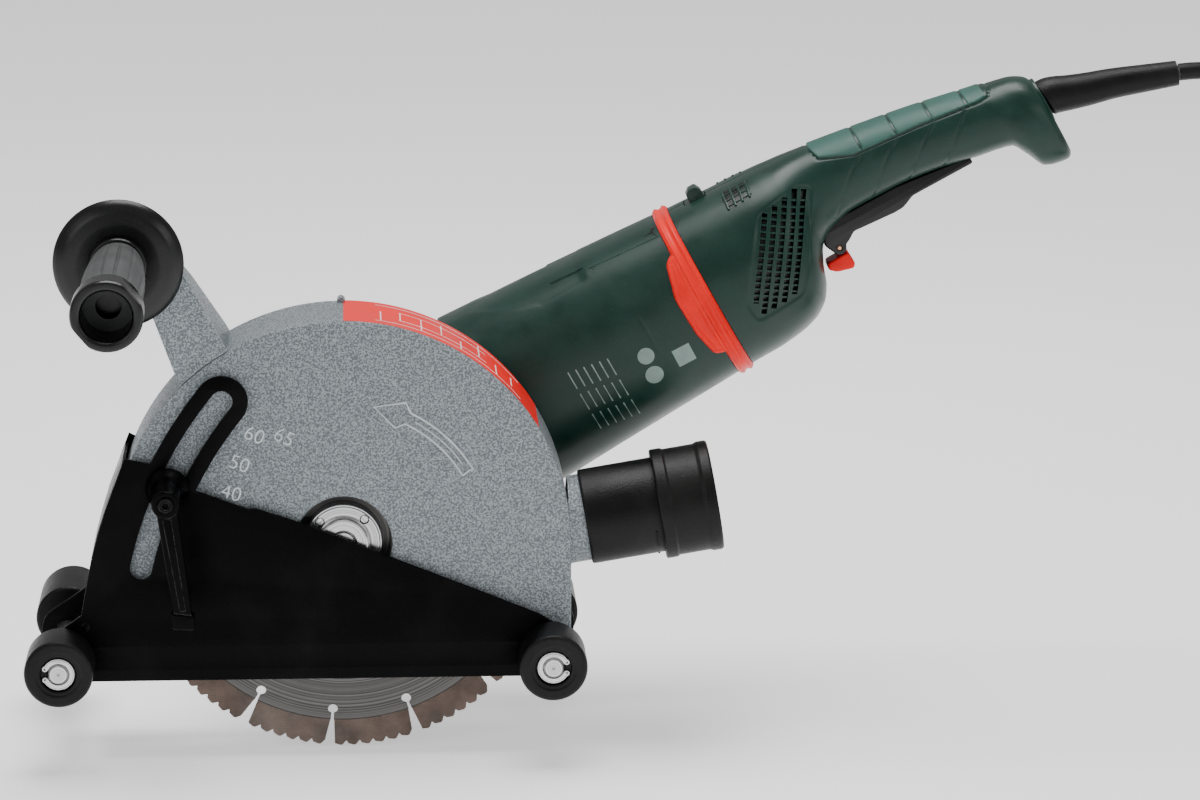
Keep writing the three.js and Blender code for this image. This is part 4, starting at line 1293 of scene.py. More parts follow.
# ---- side handle
@dataclass(frozen=True)
class SideHandle:
    """The arm on the rim with its round guard and fluted grip."""

    x: float = -114.5
    z: float = 152.0
    flutes: int = 14

    def arm(self) -> Piece:
        """Builds the cast arm: wide on the rim, narrow at the grip."""
        rim = HOOD_R + 0.3
        line = [*arc(0, 0, rim, 134.5, 119.5, 10), (-78, 140), (-93, 163),
                *arc(self.x, self.z, 16, 48, 235, 24),
                (-98, 124)]
        body = plate("arm", [line], 0, HOOD_DEPTH - 0.5, 0.0)
        side = fillet([(-1, 60), (49.5, 60), (49.5, 106), (17.5, 150), (17.5, 190), (-1, 190)], 7, steps=6)
        corners = [(x, y, z) for x in (-150.0, -30.0) for y, z in side]
        count = len(side)
        faces = [(i, (i + 1) % count, count + (i + 1) % count, count + i) for i in range(count)]
        faces += [tuple(range(count)), tuple(range(count, 2 * count))]
        body = combine(body, add_mesh("gusset", corners, faces), Join.KEEP)
        hole = turned("stud_hole", [(0, -5), (6.3, -5), (6.3, 25), (0, 25)], at(self.x, self.z), 32)
        return soften(combine(body, hole, Join.CUT), 0.9, 2, 38)

    def fluted(self, radius: float, y: float, turn: float) -> float:
        """Returns the grip's radius with its uneven flutes."""
        if not -99.0 < y < -15.0:
            return radius
        fade = min((-15.0 - y) / 4, (y + 99.0) / 5, 1.0)
        phase = self.flutes * turn + 0.7 * math.sin(3 * turn)
        groove = max(0.0, math.cos(phase)) ** 6
        return radius - 1.0 * fade * groove + 0.25 * fade

    def grip(self) -> Piece:
        """Builds the fluted grip between the guard and the cap."""
        profile = [(6.5, -12), (12.8, -12), (13.5, -13), (13.7, -15), (14, -20), (14.7, -32), (15.4, -45),
                   (15.75, -58), (15.75, -72), (15.5, -85), (15.2, -94), (15.0, -99), (14.9, -101.5),
                   (6.5, -101.5)]
        return turned("grip", profile, at(self.x, self.z), 336, ripple=self.fluted)

    def cap(self) -> Piece:
        """Builds the flared end cap with two flats and a deep hole."""
        profile = [(12.8, -101.8), (15.1, -101.8), (16.8, -106), (18.2, -110), (18.2, -124.2), (17.2, -126),
                   (14.2, -126), (12.8, -124.6)]
        body = turned("grip_cap", profile, at(self.x, self.z), 96, 0.8, True)
        for angle in (40, 220):
            turn = at(self.x, self.z) @ Matrix.Rotation(-math.radians(angle), 4, "Y")
            body = combine(body, block("flat", (16.6, -130, -30), (30, -107, 30), turn), Join.CUT)
        return soften(body, 0.5, 2, 30)

    def build(self) -> None:
        """Builds and dresses the handle."""
        install(self.arm(), Finishes.hammer, "machine", ["side_handle_arm"])
        guard = [(7, -5), (13, -7.5), (22, -8.5), (28, -7.7), (32, -5.2), (33.8, -3.2), (33.8, -1.6),
                 (31, -3),
                 (22, -5.2), (13, -3.6), (12, -0.3), (7, -0.3)]
        install(turned("guard", guard, at(self.x, self.z), 128, 1.6, True), Finishes.plastic, "machine",
                ["hand_guard"])
        install(self.grip(), Finishes.grip, "machine", ["side_grip"])
        install(self.cap(), Finishes.plastic, "machine")
        # dark lining and floor in the cap's bore: painted shade that closes the view into the hollow grip
        lining = [(12.8, -124.6), (12.8, -92), (0, -92), (0, -91.5), (13.1, -91.5), (13.1, -124.6)]
        install(turned("cap_bore", lining, at(self.x, self.z), 48), Finishes.recess, "machine")
        collar = [(7.2, -12.2), (14.6, -12.2), (15.4, -10.8), (15.4, -7.6), (7.2, -7.6)]
        install(turned("guard_collar", collar, at(self.x, self.z), 64, 0.5, True), Finishes.recess, "machine")


# ---- blade and spindle
@dataclass(frozen=True)
class CuttingSet:
    """The diamond blade, its flanges and the spindle."""

    segments: int = 15
    core_r: float = 101.0
    tip_r: float = 115.0
    middle_y: float = 12.0
    half: float = 1.3
    gullet: float = -94.0

    def core(self) -> Piece:
        """Builds the steel disc with its gullets."""
        step = 360 / self.segments
        line: list[Point2] = []
        for i in range(self.segments):
            angle = self.gullet + i * step
            key = polar(0, 0, 95.0, angle)
            line.append(polar(0, 0, self.core_r, angle - 0.45))
            line += [polar(*key, 2.6, angle - turn) for turn in range(15, 350, 15)]
            line.append(polar(0, 0, self.core_r, angle + 0.45))
            line += [polar(0, 0, self.core_r, angle + 0.45 + (step - 0.9) * k / 6) for k in range(1, 6)]
        hole = circle(0, 0, 11.1, 48)
        thin = self.half - 0.25
        return plate("blade_core", [line, hole], self.middle_y - thin, self.middle_y + thin, 0.08)

    def segment(self) -> Piece:
        """Builds one sintered segment with a saw-like outer edge."""
        step = 360 / self.segments
        line: list[Point2] = []
        teeth = 6
        for k in range(teeth):
            low = -step / 2 + 1.1 + (step - 2.2) * k / teeth
            width = (step - 2.2) / teeth
            line.append(polar(0, 0, self.tip_r - 0.9, low))
            line.append(polar(0, 0, self.tip_r, low + width * 0.42))
            line.append(polar(0, 0, self.tip_r - 0.3, low + width * 0.58))
            line.append(polar(0, 0, self.tip_r - 2.6, low + width * 0.86))
        reach = step / 2 - 0.55
        foot = [polar(0, 0, self.core_r - 0.4, reach - 2 * reach * k / 8) for k in range(9)]
        return plate("blade_segments", [[*line, *foot]], self.middle_y - self.half,
                     self.middle_y + self.half, 0.25)

    def nut(self) -> Piece:
        """Builds the flange nut with its four pin holes and turned grooves."""
        profile = [(7.3, -0.5), (12.2, -0.5), (13, 0.2), (13, 2.6), (13.8, 3), (14.3, 2.5), (18.9, 2.5),
                   (19.4, 3),
                   (20, 3), (20.5, 3.6), (20.5, 10.4), (7.3, 10.4)]
        body = turned("nut", profile, sides=128, closed=True)
        for angle in (-42, 48, 138, 228):
            x, z = polar(0, 0, 16.6, angle)
            body = combine(body, turned("pin_hole", [(0, -1), (2.6, -1), (2.6, 7), (0, 7)], at(x, z), 32),
                           Join.CUT)
        return soften(body, 0.25, 2, 50)

    def nose(self) -> Piece:
        """Builds the spindle with a centre hole and a run of thread."""
        profile = [(0, 5), (1.7, 4), (1.9, 1.2), (3.2, 0), (5.6, 0), (7, 1.4)]
        y = 1.4
        while y < 18:
            profile += [(7, y + 0.3), (6.35, y + 1.0), (6.35, y + 1.3), (7, y + 2.0)]
            y += 2.0
        profile += [(7, 20), (8.7, 20), (8.7, 92), (6, 92), (6, 125), (5.2, 126), (0, 126)]
        return turned("spindle_shaft", profile, sides=64)

    def build(self) -> None:
        """Builds and dresses the cutting set."""
        install(self.core(), Finishes.blade, "blade_spindle", ["diamond_blade"])
        ring = spin_copies(self.segment(), self.segments, Finishes.sinter, self.gullet + 180 / self.segments)
        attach(ring, "blade_spindle")
        LOG.info("%-26s %d segments", ring.name, self.segments)
        install(self.nut(), Finishes.steel, "blade_spindle", ["flange_nut"])
        back = self.middle_y + self.half + 0.3
        flange = [(7.3, back), (20.5, back), (20.5, back + 6), (7.3, back + 6)]
        hub = [(7.3, self.middle_y - 1), (10.8, self.middle_y - 1), (10.8, back + 1), (7.3, back + 1)]
        washer = combine(turned("flange", flange, sides=96, round_by=0.6, closed=True),
                         turned("flange_hub", hub, sides=64, closed=True), Join.ADD)
        install(washer, Finishes.steel, "blade_spindle", ["inner_flange"])
        install(self.nose(), Finishes.steel, "blade_spindle", ["spindle"])
        pin = [(0, 3.2), (1.9, 3.2), (2.3, 3.7), (2.3, 6.9), (0, 6.9)]
        pins = spin_copies(turned("nut_pins", pin, at(16.6, 0), 24), 4, Finishes.steel, -42)
        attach(pins, "blade_spindle")


# ---- depth guide
@dataclass(frozen=True)
class DepthGuide:
    """The two side plates, the folded end, and the curved slot's clamp."""

    sheet: float = 1.9
    near_y: float = -4.0
    far_y: float = 51.0
    bottom: float = -73.0
    slot_r: float = 221.0
    slot_half: float = 5.8
    slot_low: float = 12.75
    slot_high: float = 38.9
    edge: float = 13.8

    def front_edge(self) -> list[Point2]:
        """Returns the plates' front edge and the lug round the front axle."""
        fold = [(-113.8, 48.3), (-124.9, 19.0), (-131.9, -5.0), (-138.0, -36.6)]
        return [*fold, (-147.0, -43.0), *arc(FRONT_X, AXLE_Z, 13.5, 125, 250, 20)]

    def foot(self) -> list[Point2]:
        """Returns the bottom edge and the lug round the rear axle."""
        return [(-147.0, self.bottom), (117.6, self.bottom), *arc(REAR_X, AXLE_Z, 15, -56, 66, 20)]

    def slot_outline(self) -> list[Point2]:
        """Returns the curved slot."""
        low, high = 180 - self.slot_low, 180 - self.slot_high
        outside, inside = self.slot_r + self.slot_half, self.slot_r - self.slot_half
        return [
            *arc(REAR_X, AXLE_Z, outside, low, high, 40),
            *arc(*about_pivot(self.slot_r, self.slot_high), self.slot_half, high, high - 180, 14)[1:-1],
            *arc(REAR_X, AXLE_Z, inside, high, low, 40),
            *arc(*about_pivot(self.slot_r, self.slot_low), self.slot_half, low + 180, low, 14)[1:-1],
        ]

    def near_plate(self) -> Piece:
        """Builds the near plate."""
        high = 180 - self.slot_high
        slope = [(103, -38.8), (82, -30), (29.5, -8.6), (-22, 12.6), (-46, 20.6), (-50, 20.4), (-72.4, 29)]
        line = [
            *self.foot(),
            *slope,
            *arc(REAR_X, AXLE_Z, self.slot_r - self.edge, 154, high, 24),
            *arc(*about_pivot(self.slot_r, self.slot_high), self.edge, -self.slot_high, high, 24)[1:-1],
            *arc(REAR_X, AXLE_Z, self.slot_r + self.edge, high, 153.2, 24),
            *self.front_edge(),
        ]
        holes = [circle(x, AXLE_Z, AXLE_R + 0.2, 32) for x in (REAR_X, FRONT_X)]
        return plate("plate_near", [line, self.slot_outline(), *holes], self.near_y,
                     self.near_y + self.sheet, 0.4)

    def far_plate(self) -> Piece:
        """Builds the far plate."""
        back = fillet([(100, -44), (74, -62), (-66, -62), (-96, -42), (-101, -5), (-98, 40)], 8, closed=False)
        line = [*self.foot(), *back, *self.front_edge()]
        holes = [circle(x, AXLE_Z, AXLE_R + 0.2, 32) for x in (REAR_X, FRONT_X)]
        return plate("plate_far", [line, *holes], self.far_y, self.far_y + self.sheet, 0.4)

    def fold(self) -> Piece:
        """Builds the folded end between the plates."""
        outside = [(-115.6, 43.0), (-120.4, 31.0), (-124.9, 19.0), (-128.7, 7.0), (-131.9, -5.0),
                   (-135.2, -21.0),
                   (-138.0, -36.6)]
        inside = [(x + 1.5, z) for x, z in reversed(outside)]
        y0 = self.near_y + self.sheet + 0.3
        return plate("fold_plate", [[*outside, *inside]], y0, self.far_y - 0.3, 0.3)

    def lever(self) -> Piece:
        """Builds the clamp lever: a coned hub, a ridged arm and a foot."""
        x, z = CLAMP_BOLT
        profile = [(4.3, -4.8), (10.9, -4.8), (11.5, -5.4), (11.5, -7.4), (10.6, -9.2), (8.6, -12.4),
                   (7.3, -18),
                   (6.8, -25), (6.6, -31), (7.3, -33), (7.3, -37.2), (6.5, -38), (4.3, -38)]
        hub = turned("lever", profile, at(x, z), 72, 0.5, True)
        arm_line = fillet([(x - 5.6, z + 1), (x + 5.6, z), (x + 12.5, z - 60), (x + 3.2, z - 60)], 1.2)
        arm = plate("arm_plate", [arm_line], -37.2, -31, 0.9)
        ridge_line = [(x - 1.6, z - 8), (x + 2.6, z - 8), (x + 9.2, z - 57), (x + 6.4, z - 57)]
        ridge = plate("arm_ridge", [ridge_line], -38, -35, 0.6)
        foot_line = fillet([(x + 1.8, z - 58), (x + 13.6, z - 59.5), (x + 13.8, z - 67.5),
                            (x + 2.2, z - 67)], 1.5)
        foot = plate("lever_foot", [foot_line], -38, -29, 1.1)
        bore = turned("bore", [(0, -42), (6.9, -42), (6.9, 0), (0, 0)], at(x, z), 48)
        return merge("lever", [hub, combine(arm, bore, Join.CUT), ridge, foot])

    def bolt(self) -> Piece:
        """Builds the clamp bolt with its head behind the drum's face."""
        x, z = CLAMP_BOLT
        profile = [(0, -40), (3.2, -40), (4, -39.2), (4, 3.3), (9, 3.3), (9, 8), (8.5, 8.5), (0, 8.5)]
        body = turned("bolt", profile, at(x, z), 48)
        return combine(body, plate("hex_socket", [circle(x, z, 2.1, 6)], -42, -37.6, 0), Join.CUT)

    def build(self) -> None:
        """Builds and dresses the guide and its clamp."""
        install(self.near_plate(), Finishes.paint, "guide", ["guide_plate_near"])
        install(self.far_plate(), Finishes.paint, "guide", ["guide_plate_far"])
        install(self.fold(), Finishes.paint, "guide", ["guide_end_plate"])
        dot = turned("plate_rivet", [(0, -4.7), (1.4, -4.6), (2.2, -4.2), (2.4, -3.8), (0, -3.8)],
                     at(-136, -43), 24)
        install(dot, Finishes.paint, "guide")
        install(self.lever(), Finishes.paint, "clamp", ["clamp_lever"])
        install(self.bolt(), Finishes.paint, "machine", ["clamp_bolt"])


@dataclass(frozen=True)
class RollerSet:
    """One axle with its two rollers, retaining rings and spacer."""

    place: str
    x: float
    gap_angle: float
    near: float = -31.2
    far: float = 113.6

    def axle(self) -> Piece:
        """Builds the axle with chamfered ends and a centre mark."""
        profile = [(0, self.near + 1.0), (0.9, self.near), (4.5, self.near), (AXLE_R, self.near + 1.0),
                   (AXLE_R, -20),
                   (AXLE_R, 100), (AXLE_R, self.far - 1.0), (4.5, self.far), (0.9, self.far),
                   (0, self.far - 1.0)]
        return turned(f"axle_{self.place}", profile, at(self.x, AXLE_Z), 64)

    def roller(self, side: str, outer: float, inner: float) -> Piece:
        """Builds a roller with rounded shoulders and a pocket for the ring."""
        step = 1 if inner > outer else -1
        bore = AXLE_R + 0.3
        profile = [(bore, inner), (16.8, inner), (18, inner - step * 1.2), (18, outer + step * 2.2),
                   (17.6, outer + step * 0.9), (16.4, outer), (12.2, outer), (11.4, outer + step * 0.6),
                   (9.9, outer + step * 0.6), (9.4, outer + step * 1.2), (9.4, outer + step * 3),
                   (bore, outer + step * 3)]
        return turned(f"wheel_{self.place}_{side}", profile, at(self.x, AXLE_Z), 96, 0.5, True)

    def ring(self, side: str, y: float) -> Piece:
        """Builds a retaining ring with its two lugs."""
        lug = 24
        inside = AXLE_R + 0.3
        line = [*arc(0, 0, 8.4, lug, 360 - lug, 32), *arc(0, 0, inside, 360 - lug, lug, 32)]
        place = at(self.x, AXLE_Z) @ Matrix.Rotation(-math.radians(self.gap_angle), 4, "Y")
        body = plate(f"clip_{self.place}_{side}", [line], y, y + 1.2, 0.15, place)
        for turn in (lug, -lug):
            spot = polar(0, 0, 7.5, turn)
            eye = plate("eye", [circle(*spot, 1.5, 20), circle(*spot, 0.7, 14)], y + 0.05, y + 1.15, 0.1,
                        place)
            body = combine(body, eye, Join.ADD)
        return body

    def build(self) -> None:
        """Builds and dresses the set."""
        centre = (self.x, 0.0, AXLE_Z)
        install(self.axle(), Finishes.steel, "guide", [f"{self.place}_axle"], centre)
        for side, outer, inner, ring_y in (("near", -31.8, -4.6, -30.4), ("far", 114.2, 70.0, 111.6)):
            body = f"{self.place}_roller_{side}"
            install(self.roller(side, outer, inner), Finishes.rubber, body,
                    [f"roller_{self.place}_{side}"], centre)
            install(self.ring(side, ring_y), Finishes.steel, "guide",
                    [f"retaining_ring_{self.place}_{side}"], centre)
        profile = [(AXLE_R + 0.3, 53.2), (9, 53.2), (9, 69.6), (AXLE_R + 0.3, 69.6)]
        spacer = turned(f"spacer_{self.place}", profile, at(self.x, AXLE_Z), 64, 0.5, True)
        install(spacer, Finishes.steel, "guide", [f"roller_spacer_{self.place}"], centre)


# ---- motor and gears
MOTOR_OVAL = OvalBody(
    ((92, -52, 57, 47), (108, -51.8, 56, 48.5), (150, -50, 53.6, 48), (190, -48.4, 51, 47),
     (222.3, -47.2, 48.6, 46))
)
NECK_OVAL = OvalBody(((10, -44, 44, 40), (60, -48, 50, 44), (91.7, -51.5, 54, 46)))
HANDLE_OVAL = OvalBody(
    (
        (231.3, -47, 48, 44.5), (245, -47, 47.2, 44), (260, -45.8, 46.4, 43), (272, -43, 45.8, 41.5),
        (281, -37.5, 45.3, 39), (287, -29, 44.8, 36), (291, -18, 44.4, 33), (297, -8, 44, 28),
        (306, -3, 43, 24),
        (320, -0.5, 41, 21.5), (345, -1, 37, 20.5), (370, -4, 32.6, 20), (390, -8.5, 28.5, 20),
        (404, -11, 25.4, 20), (411, -13, 24, 20), (416, -21, 22.8, 20), (421, -31, 21.8, 20),
        (427, -33.6, 20.2, 20), (435, -34.8, 15.5, 18.5), (438.3, -33.5, 10.5, 16),
    ),
    2.4,
)


def oval_shell(
    name: str, body: OvalBody, stations: np.ndarray,
    grow: Callable[[np.ndarray, np.ndarray], np.ndarray] | float, wall: float, sides: int = 180,
    turns: tuple[float, float] | None = None,
) -> Piece:
    """Makes a hollow moulded shell about the motor axis.

    Args:
        name: The object's name.
        body: Its outside form.
        stations: Where its rings are.
        grow: How far the skin stands out: a number, or a function of the plain skin's u and v.
        wall: Its thickness.
        sides: Points around.
        turns: First and last angle for an open strip; the whole way round without it.

    Returns:
        The solid.
    """
    if turns is None:
        angles = np.linspace(0, 2 * math.pi, sides, endpoint=False)
    else:
        angles = np.linspace(*turns, sides)
    plain = body.skin(stations, angles)
    out = grow(plain[:, :, 0], plain[:, :, 2]) if callable(grow) else grow
    grid = body.skin(stations, angles, out)
    inner = body.skin(stations, angles, out - wall)
    around = turns is None
    rows = [[tuple(p) for p in row] for row in grid]
    back = [[tuple(p) for p in row] for row in inner]
    if around:
        return rings(name, [*rows, *reversed(back), rows[0]], MOTOR, True, False)
    looped = [[*row, *reversed(low)] for row, low in zip(rows, back)]
    return rings(name, looped, MOTOR, True, True)


def seam(
    name: str, body: OvalBody, line: Sequence[Point2], side: Side, radius: float = 0.35,
    out: float = 0.0,
) -> Piece:
    """Makes a fine raised line that follows one side of a moulded body.

    Args:
        name: The object's name.
        body: The body it lies on.
        line: Corners as station and height.
        side: Which side.
        radius: Half its width.
        out: How far its middle stands off the skin.

    Returns:
        The bar.
    """
    points = []
    for (u0, v0), (u1, v1) in zip(line, line[1:]):
        steps = max(int(math.hypot(u1 - u0, v1 - v0) / 2), 1)
        for k in range(steps):
            u, v = u0 + (u1 - u0) * k / steps, v0 + (v1 - v0) * k / steps
            points.append(body.side(u, v, side, out))
    points.append(body.side(*line[-1], side, out))
    return tube(name, points, radius, 8, MOTOR)


def patch(name: str, body: OvalBody, outline: Sequence[Point2], side: Side, out: float) -> Piece:
    """Makes a thin printed shape on one side of a moulded body.

    Args:
        name: The object's name.
        body: The body it lies on.
        outline: Corners as station and height.
        side: Which side.
        out: How far it stands off the skin.

    Returns:
        The solid.
    """
    middle = np.mean(np.array(outline), axis=0)
    rows = [[tuple(body.side(u, v, side, -0.3)) for u, v in outline]]
    for share in (1.0, 0.8, 0.6, 0.4, 0.2, 0.02):
        spots = [middle + (np.array(corner) - middle) * share for corner in outline]
        rows.append([tuple(body.side(float(u), float(v), side, out)) for u, v in spots])
    return rings(name, rows, MOTOR)


@dataclass(frozen=True)
class GearHead:
    """The cast gear housing behind the drum, its cover, screws and the spindle lock."""

    barrel_r: float = 46.0

    def casting(self) -> Piece:
        """Builds the barrel and the neck towards the motor."""
        profile = [(38.3, 56.3), (44, 56.3), (self.barrel_r, 62), (self.barrel_r, 146), (40, 152),
                   (6.4, 152), (6.4, 140), (38.3, 140)]
        barrel = turned("casting", profile, sides=128, round_by=2.0, closed=True)
        neck = oval_shell("neck", NECK_OVAL, np.linspace(30, 91.7, 22), 0.0, 5.0, 120)
        bore = turned("cavity", [(0, 50), (38.3, 50), (38.3, 140), (0, 140)], sides=96)
        return combine(barrel, combine(neck, bore, Join.CUT), Join.ADD)

    def build(self) -> None:
        """Builds and dresses the gear head."""
        install(self.casting(), Finishes.aluminium, "machine", ["gear_housing"])
        rib = turned("gear_ribs", [(45.5, 74), (47.2, 74.8), (47.2, 76.2), (45.5, 77)], sides=128,
                     closed=True)
        ribs = row_copies(rib, 4, Vector((0, 18, 0)), Finishes.aluminium)
        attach(ribs, "machine")
        head = turned("gear_screws", [(0, 154.6), (3.2, 154.6), (3.8, 154), (3.8, 151.5), (0, 151.5)],
                      at(32, 0), 32)
        head = combine(head, plate("hex", [circle(32, 0, 1.9, 6)], 153, 156, 0), Join.CUT)
        screws = spin_copies(head, 4, Finishes.steel, 45)
        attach(screws, "machine")
        stem = block("lock_cap", (-15.5, -4.5, 48.6), (-4.5, 5.5, 52), MOTOR, 0.9)
        stem = moved(stem, Matrix.Translation((0, -0.5, 0)))
        post = block("lock_post", (-14, -4, 34), (-6, 4, 49), MOTOR)
        install(combine(post, stem, Join.ADD), Finishes.plastic, "spindle_lock", ["spindle_lock_button"])


@dataclass(frozen=True)
class MotorBody:
    """The green motor housing with its crease lines, plain marks and red damping ring."""

    rise: float = 2.2
    ring_u: float = 222.3

    def flatten(self, u: np.ndarray, v: np.ndarray) -> np.ndarray:
        """Returns the housing's skin offsets: one crease and one shallow groove on each side."""
        crease = np.interp(u, (108.4, 147.9, 174.0, 222.0), (56.8, 44.8, 44.0, 43.0))
        step = 0.55 * eased(v, crease - 1.2, crease + 1.2) * (1 - eased(u, 172, 178))
        groove = np.exp(-(((u - 191.0) / 0.7) ** 2)) * (np.abs(v) < 14)
        return -step - 0.25 * groove

    def housing(self) -> Piece:
        """Builds the green housing."""
        stations = np.concatenate([np.linspace(92, 92.8, 4), np.arange(94, 221.2, 0.9), [221.6, 222.0]])
        return oval_shell("housing", MOTOR_OVAL, stations, self.flatten, 3.2, 240)

    def ring(self) -> Piece:
        """Builds the red damping ring with two ridges."""
        body = OvalBody(((222.3, -47.2, 48.6, 46), (231.0, -47, 48.2, 45)))
        stations = np.linspace(222.35, 231.0, 26)

        def ridges(u: np.ndarray, v: np.ndarray) -> np.ndarray:
            """Returns how far the band stands out: two humps between lowered edges."""
            humps = np.exp(-(((u - 224.4) / 1.1) ** 2)) + np.exp(-(((u - 229.0) / 1.1) ** 2))
            edge = eased(u, 222.2, 222.9) * (1 - eased(u, 230.4, 231.1))
            return 1.0 + humps * 1.1 * edge - (1 - edge) * 0.5

        return oval_shell("damping_band", body, stations, ridges, 4.0, 220)

    def pad(self) -> Piece:
        """Builds the ring's pad on the near side, with an inset line round its edge."""
        outline = fillet([(224.0, 35.5), (217.4, 31.8), (212.4, 13.5), (213.2, -8.4), (216.5, -24.2),
                          (224.0, -26.7)],
                         3.0, steps=5)
        us, vs = np.linspace(211.5, 223.2, 40), np.linspace(-29, 37, 170)
        grid_u, grid_v = np.meshgrid(us, vs, indexing="ij")
        depth = depth_inside(outline, grid_u, grid_v)
        line = np.exp(-(((depth - 2.6) / 0.5) ** 2))
        out = -0.6 + 2.4 * eased(depth, -0.35, 0.9) - 0.55 * line * (grid_u < 221.8)
        points = [[tuple(MOTOR_OVAL.side(float(u), float(v), Side.NEAR, float(o))) for u, v, o in zip(*row)]
                  for row in zip(grid_u, grid_v, out)]
        inner = [[(u, y + 1.8, v) for u, y, v in row] for row in points]
        rows = [[*front, *reversed(back)] for front, back in zip(points, inner)]
        return rings("ring_pad", rows, MOTOR)

    def marks(self) -> list[Piece]:
        """Builds plain pale marks and rules where the rating plate would be."""
        made = []
        for number, (u, v, r) in enumerate(((184.0, -5.4, 4.6), (183.0, -17.0, 5.0))):
            made.append(patch(f"print_disc_{number}", MOTOR_OVAL, circle(u, v, r, 28), Side.NEAR, 0.06))
        corners = [polar(202.0, -15.5, 7.2, 43 + 90 * k) for k in range(4)]
        square = [(a[0] + (b[0] - a[0]) * k / 4, a[1] + (b[1] - a[1]) * k / 4)
                  for a, b in zip(corners, [*corners[1:], corners[0]]) for k in range(4)]
        made.append(patch("print_square", MOTOR_OVAL, square, Side.NEAR, 0.06))
        for row in range(6):
            u = 143.0 + row * 4.4
            for column in range(3):
                v = 8.0 - column * 13.5 - row * 0.8
                bar = [(u, v), (u + 0.7, v), (u + 0.7, v - 10.4), (u, v - 10.4)]
                made.append(patch("print_rule", MOTOR_OVAL, bar, Side.NEAR, 0.05))
        return made

    def painted_recess_shade(self) -> Piece:
        """Builds a dark pointed patch on top, beside the ring: painted shade standing for a recess."""
        outline = [(213.5, 46.8), (221.3, 43.0), (221.4, 47.4), (219.0, 47.9)]
        return patch("top_recess", MOTOR_OVAL, outline, Side.NEAR, 0.08)

    def build(self) -> None:
        """Builds and dresses the motor body."""
        install(self.housing(), Finishes.green, "machine", ["motor_housing"])
        install(self.ring(), Finishes.red, "machine", ["damping_ring"])
        install(self.pad(), Finishes.red, "machine")
        for side in Side:
            lines = [[(182, 46), (180, 47.2), (205, 45.2), (221.5, 43.9)], [(157.5, 50.0), (177, 48.6)]]
            for number, line in enumerate(lines):
                made = seam(f"motor_seam_{number}_{side.name.lower()}", MOTOR_OVAL, line, side, 0.3)
                install(made, Finishes.green, "machine")
        prints = merge("motor_print", self.marks())
        install(prints, Finishes.faint_ink, "machine")
        # dark patch on top: painted shade of a pointed recess
        install(self.painted_recess_shade(), Finishes.recess, "machine")


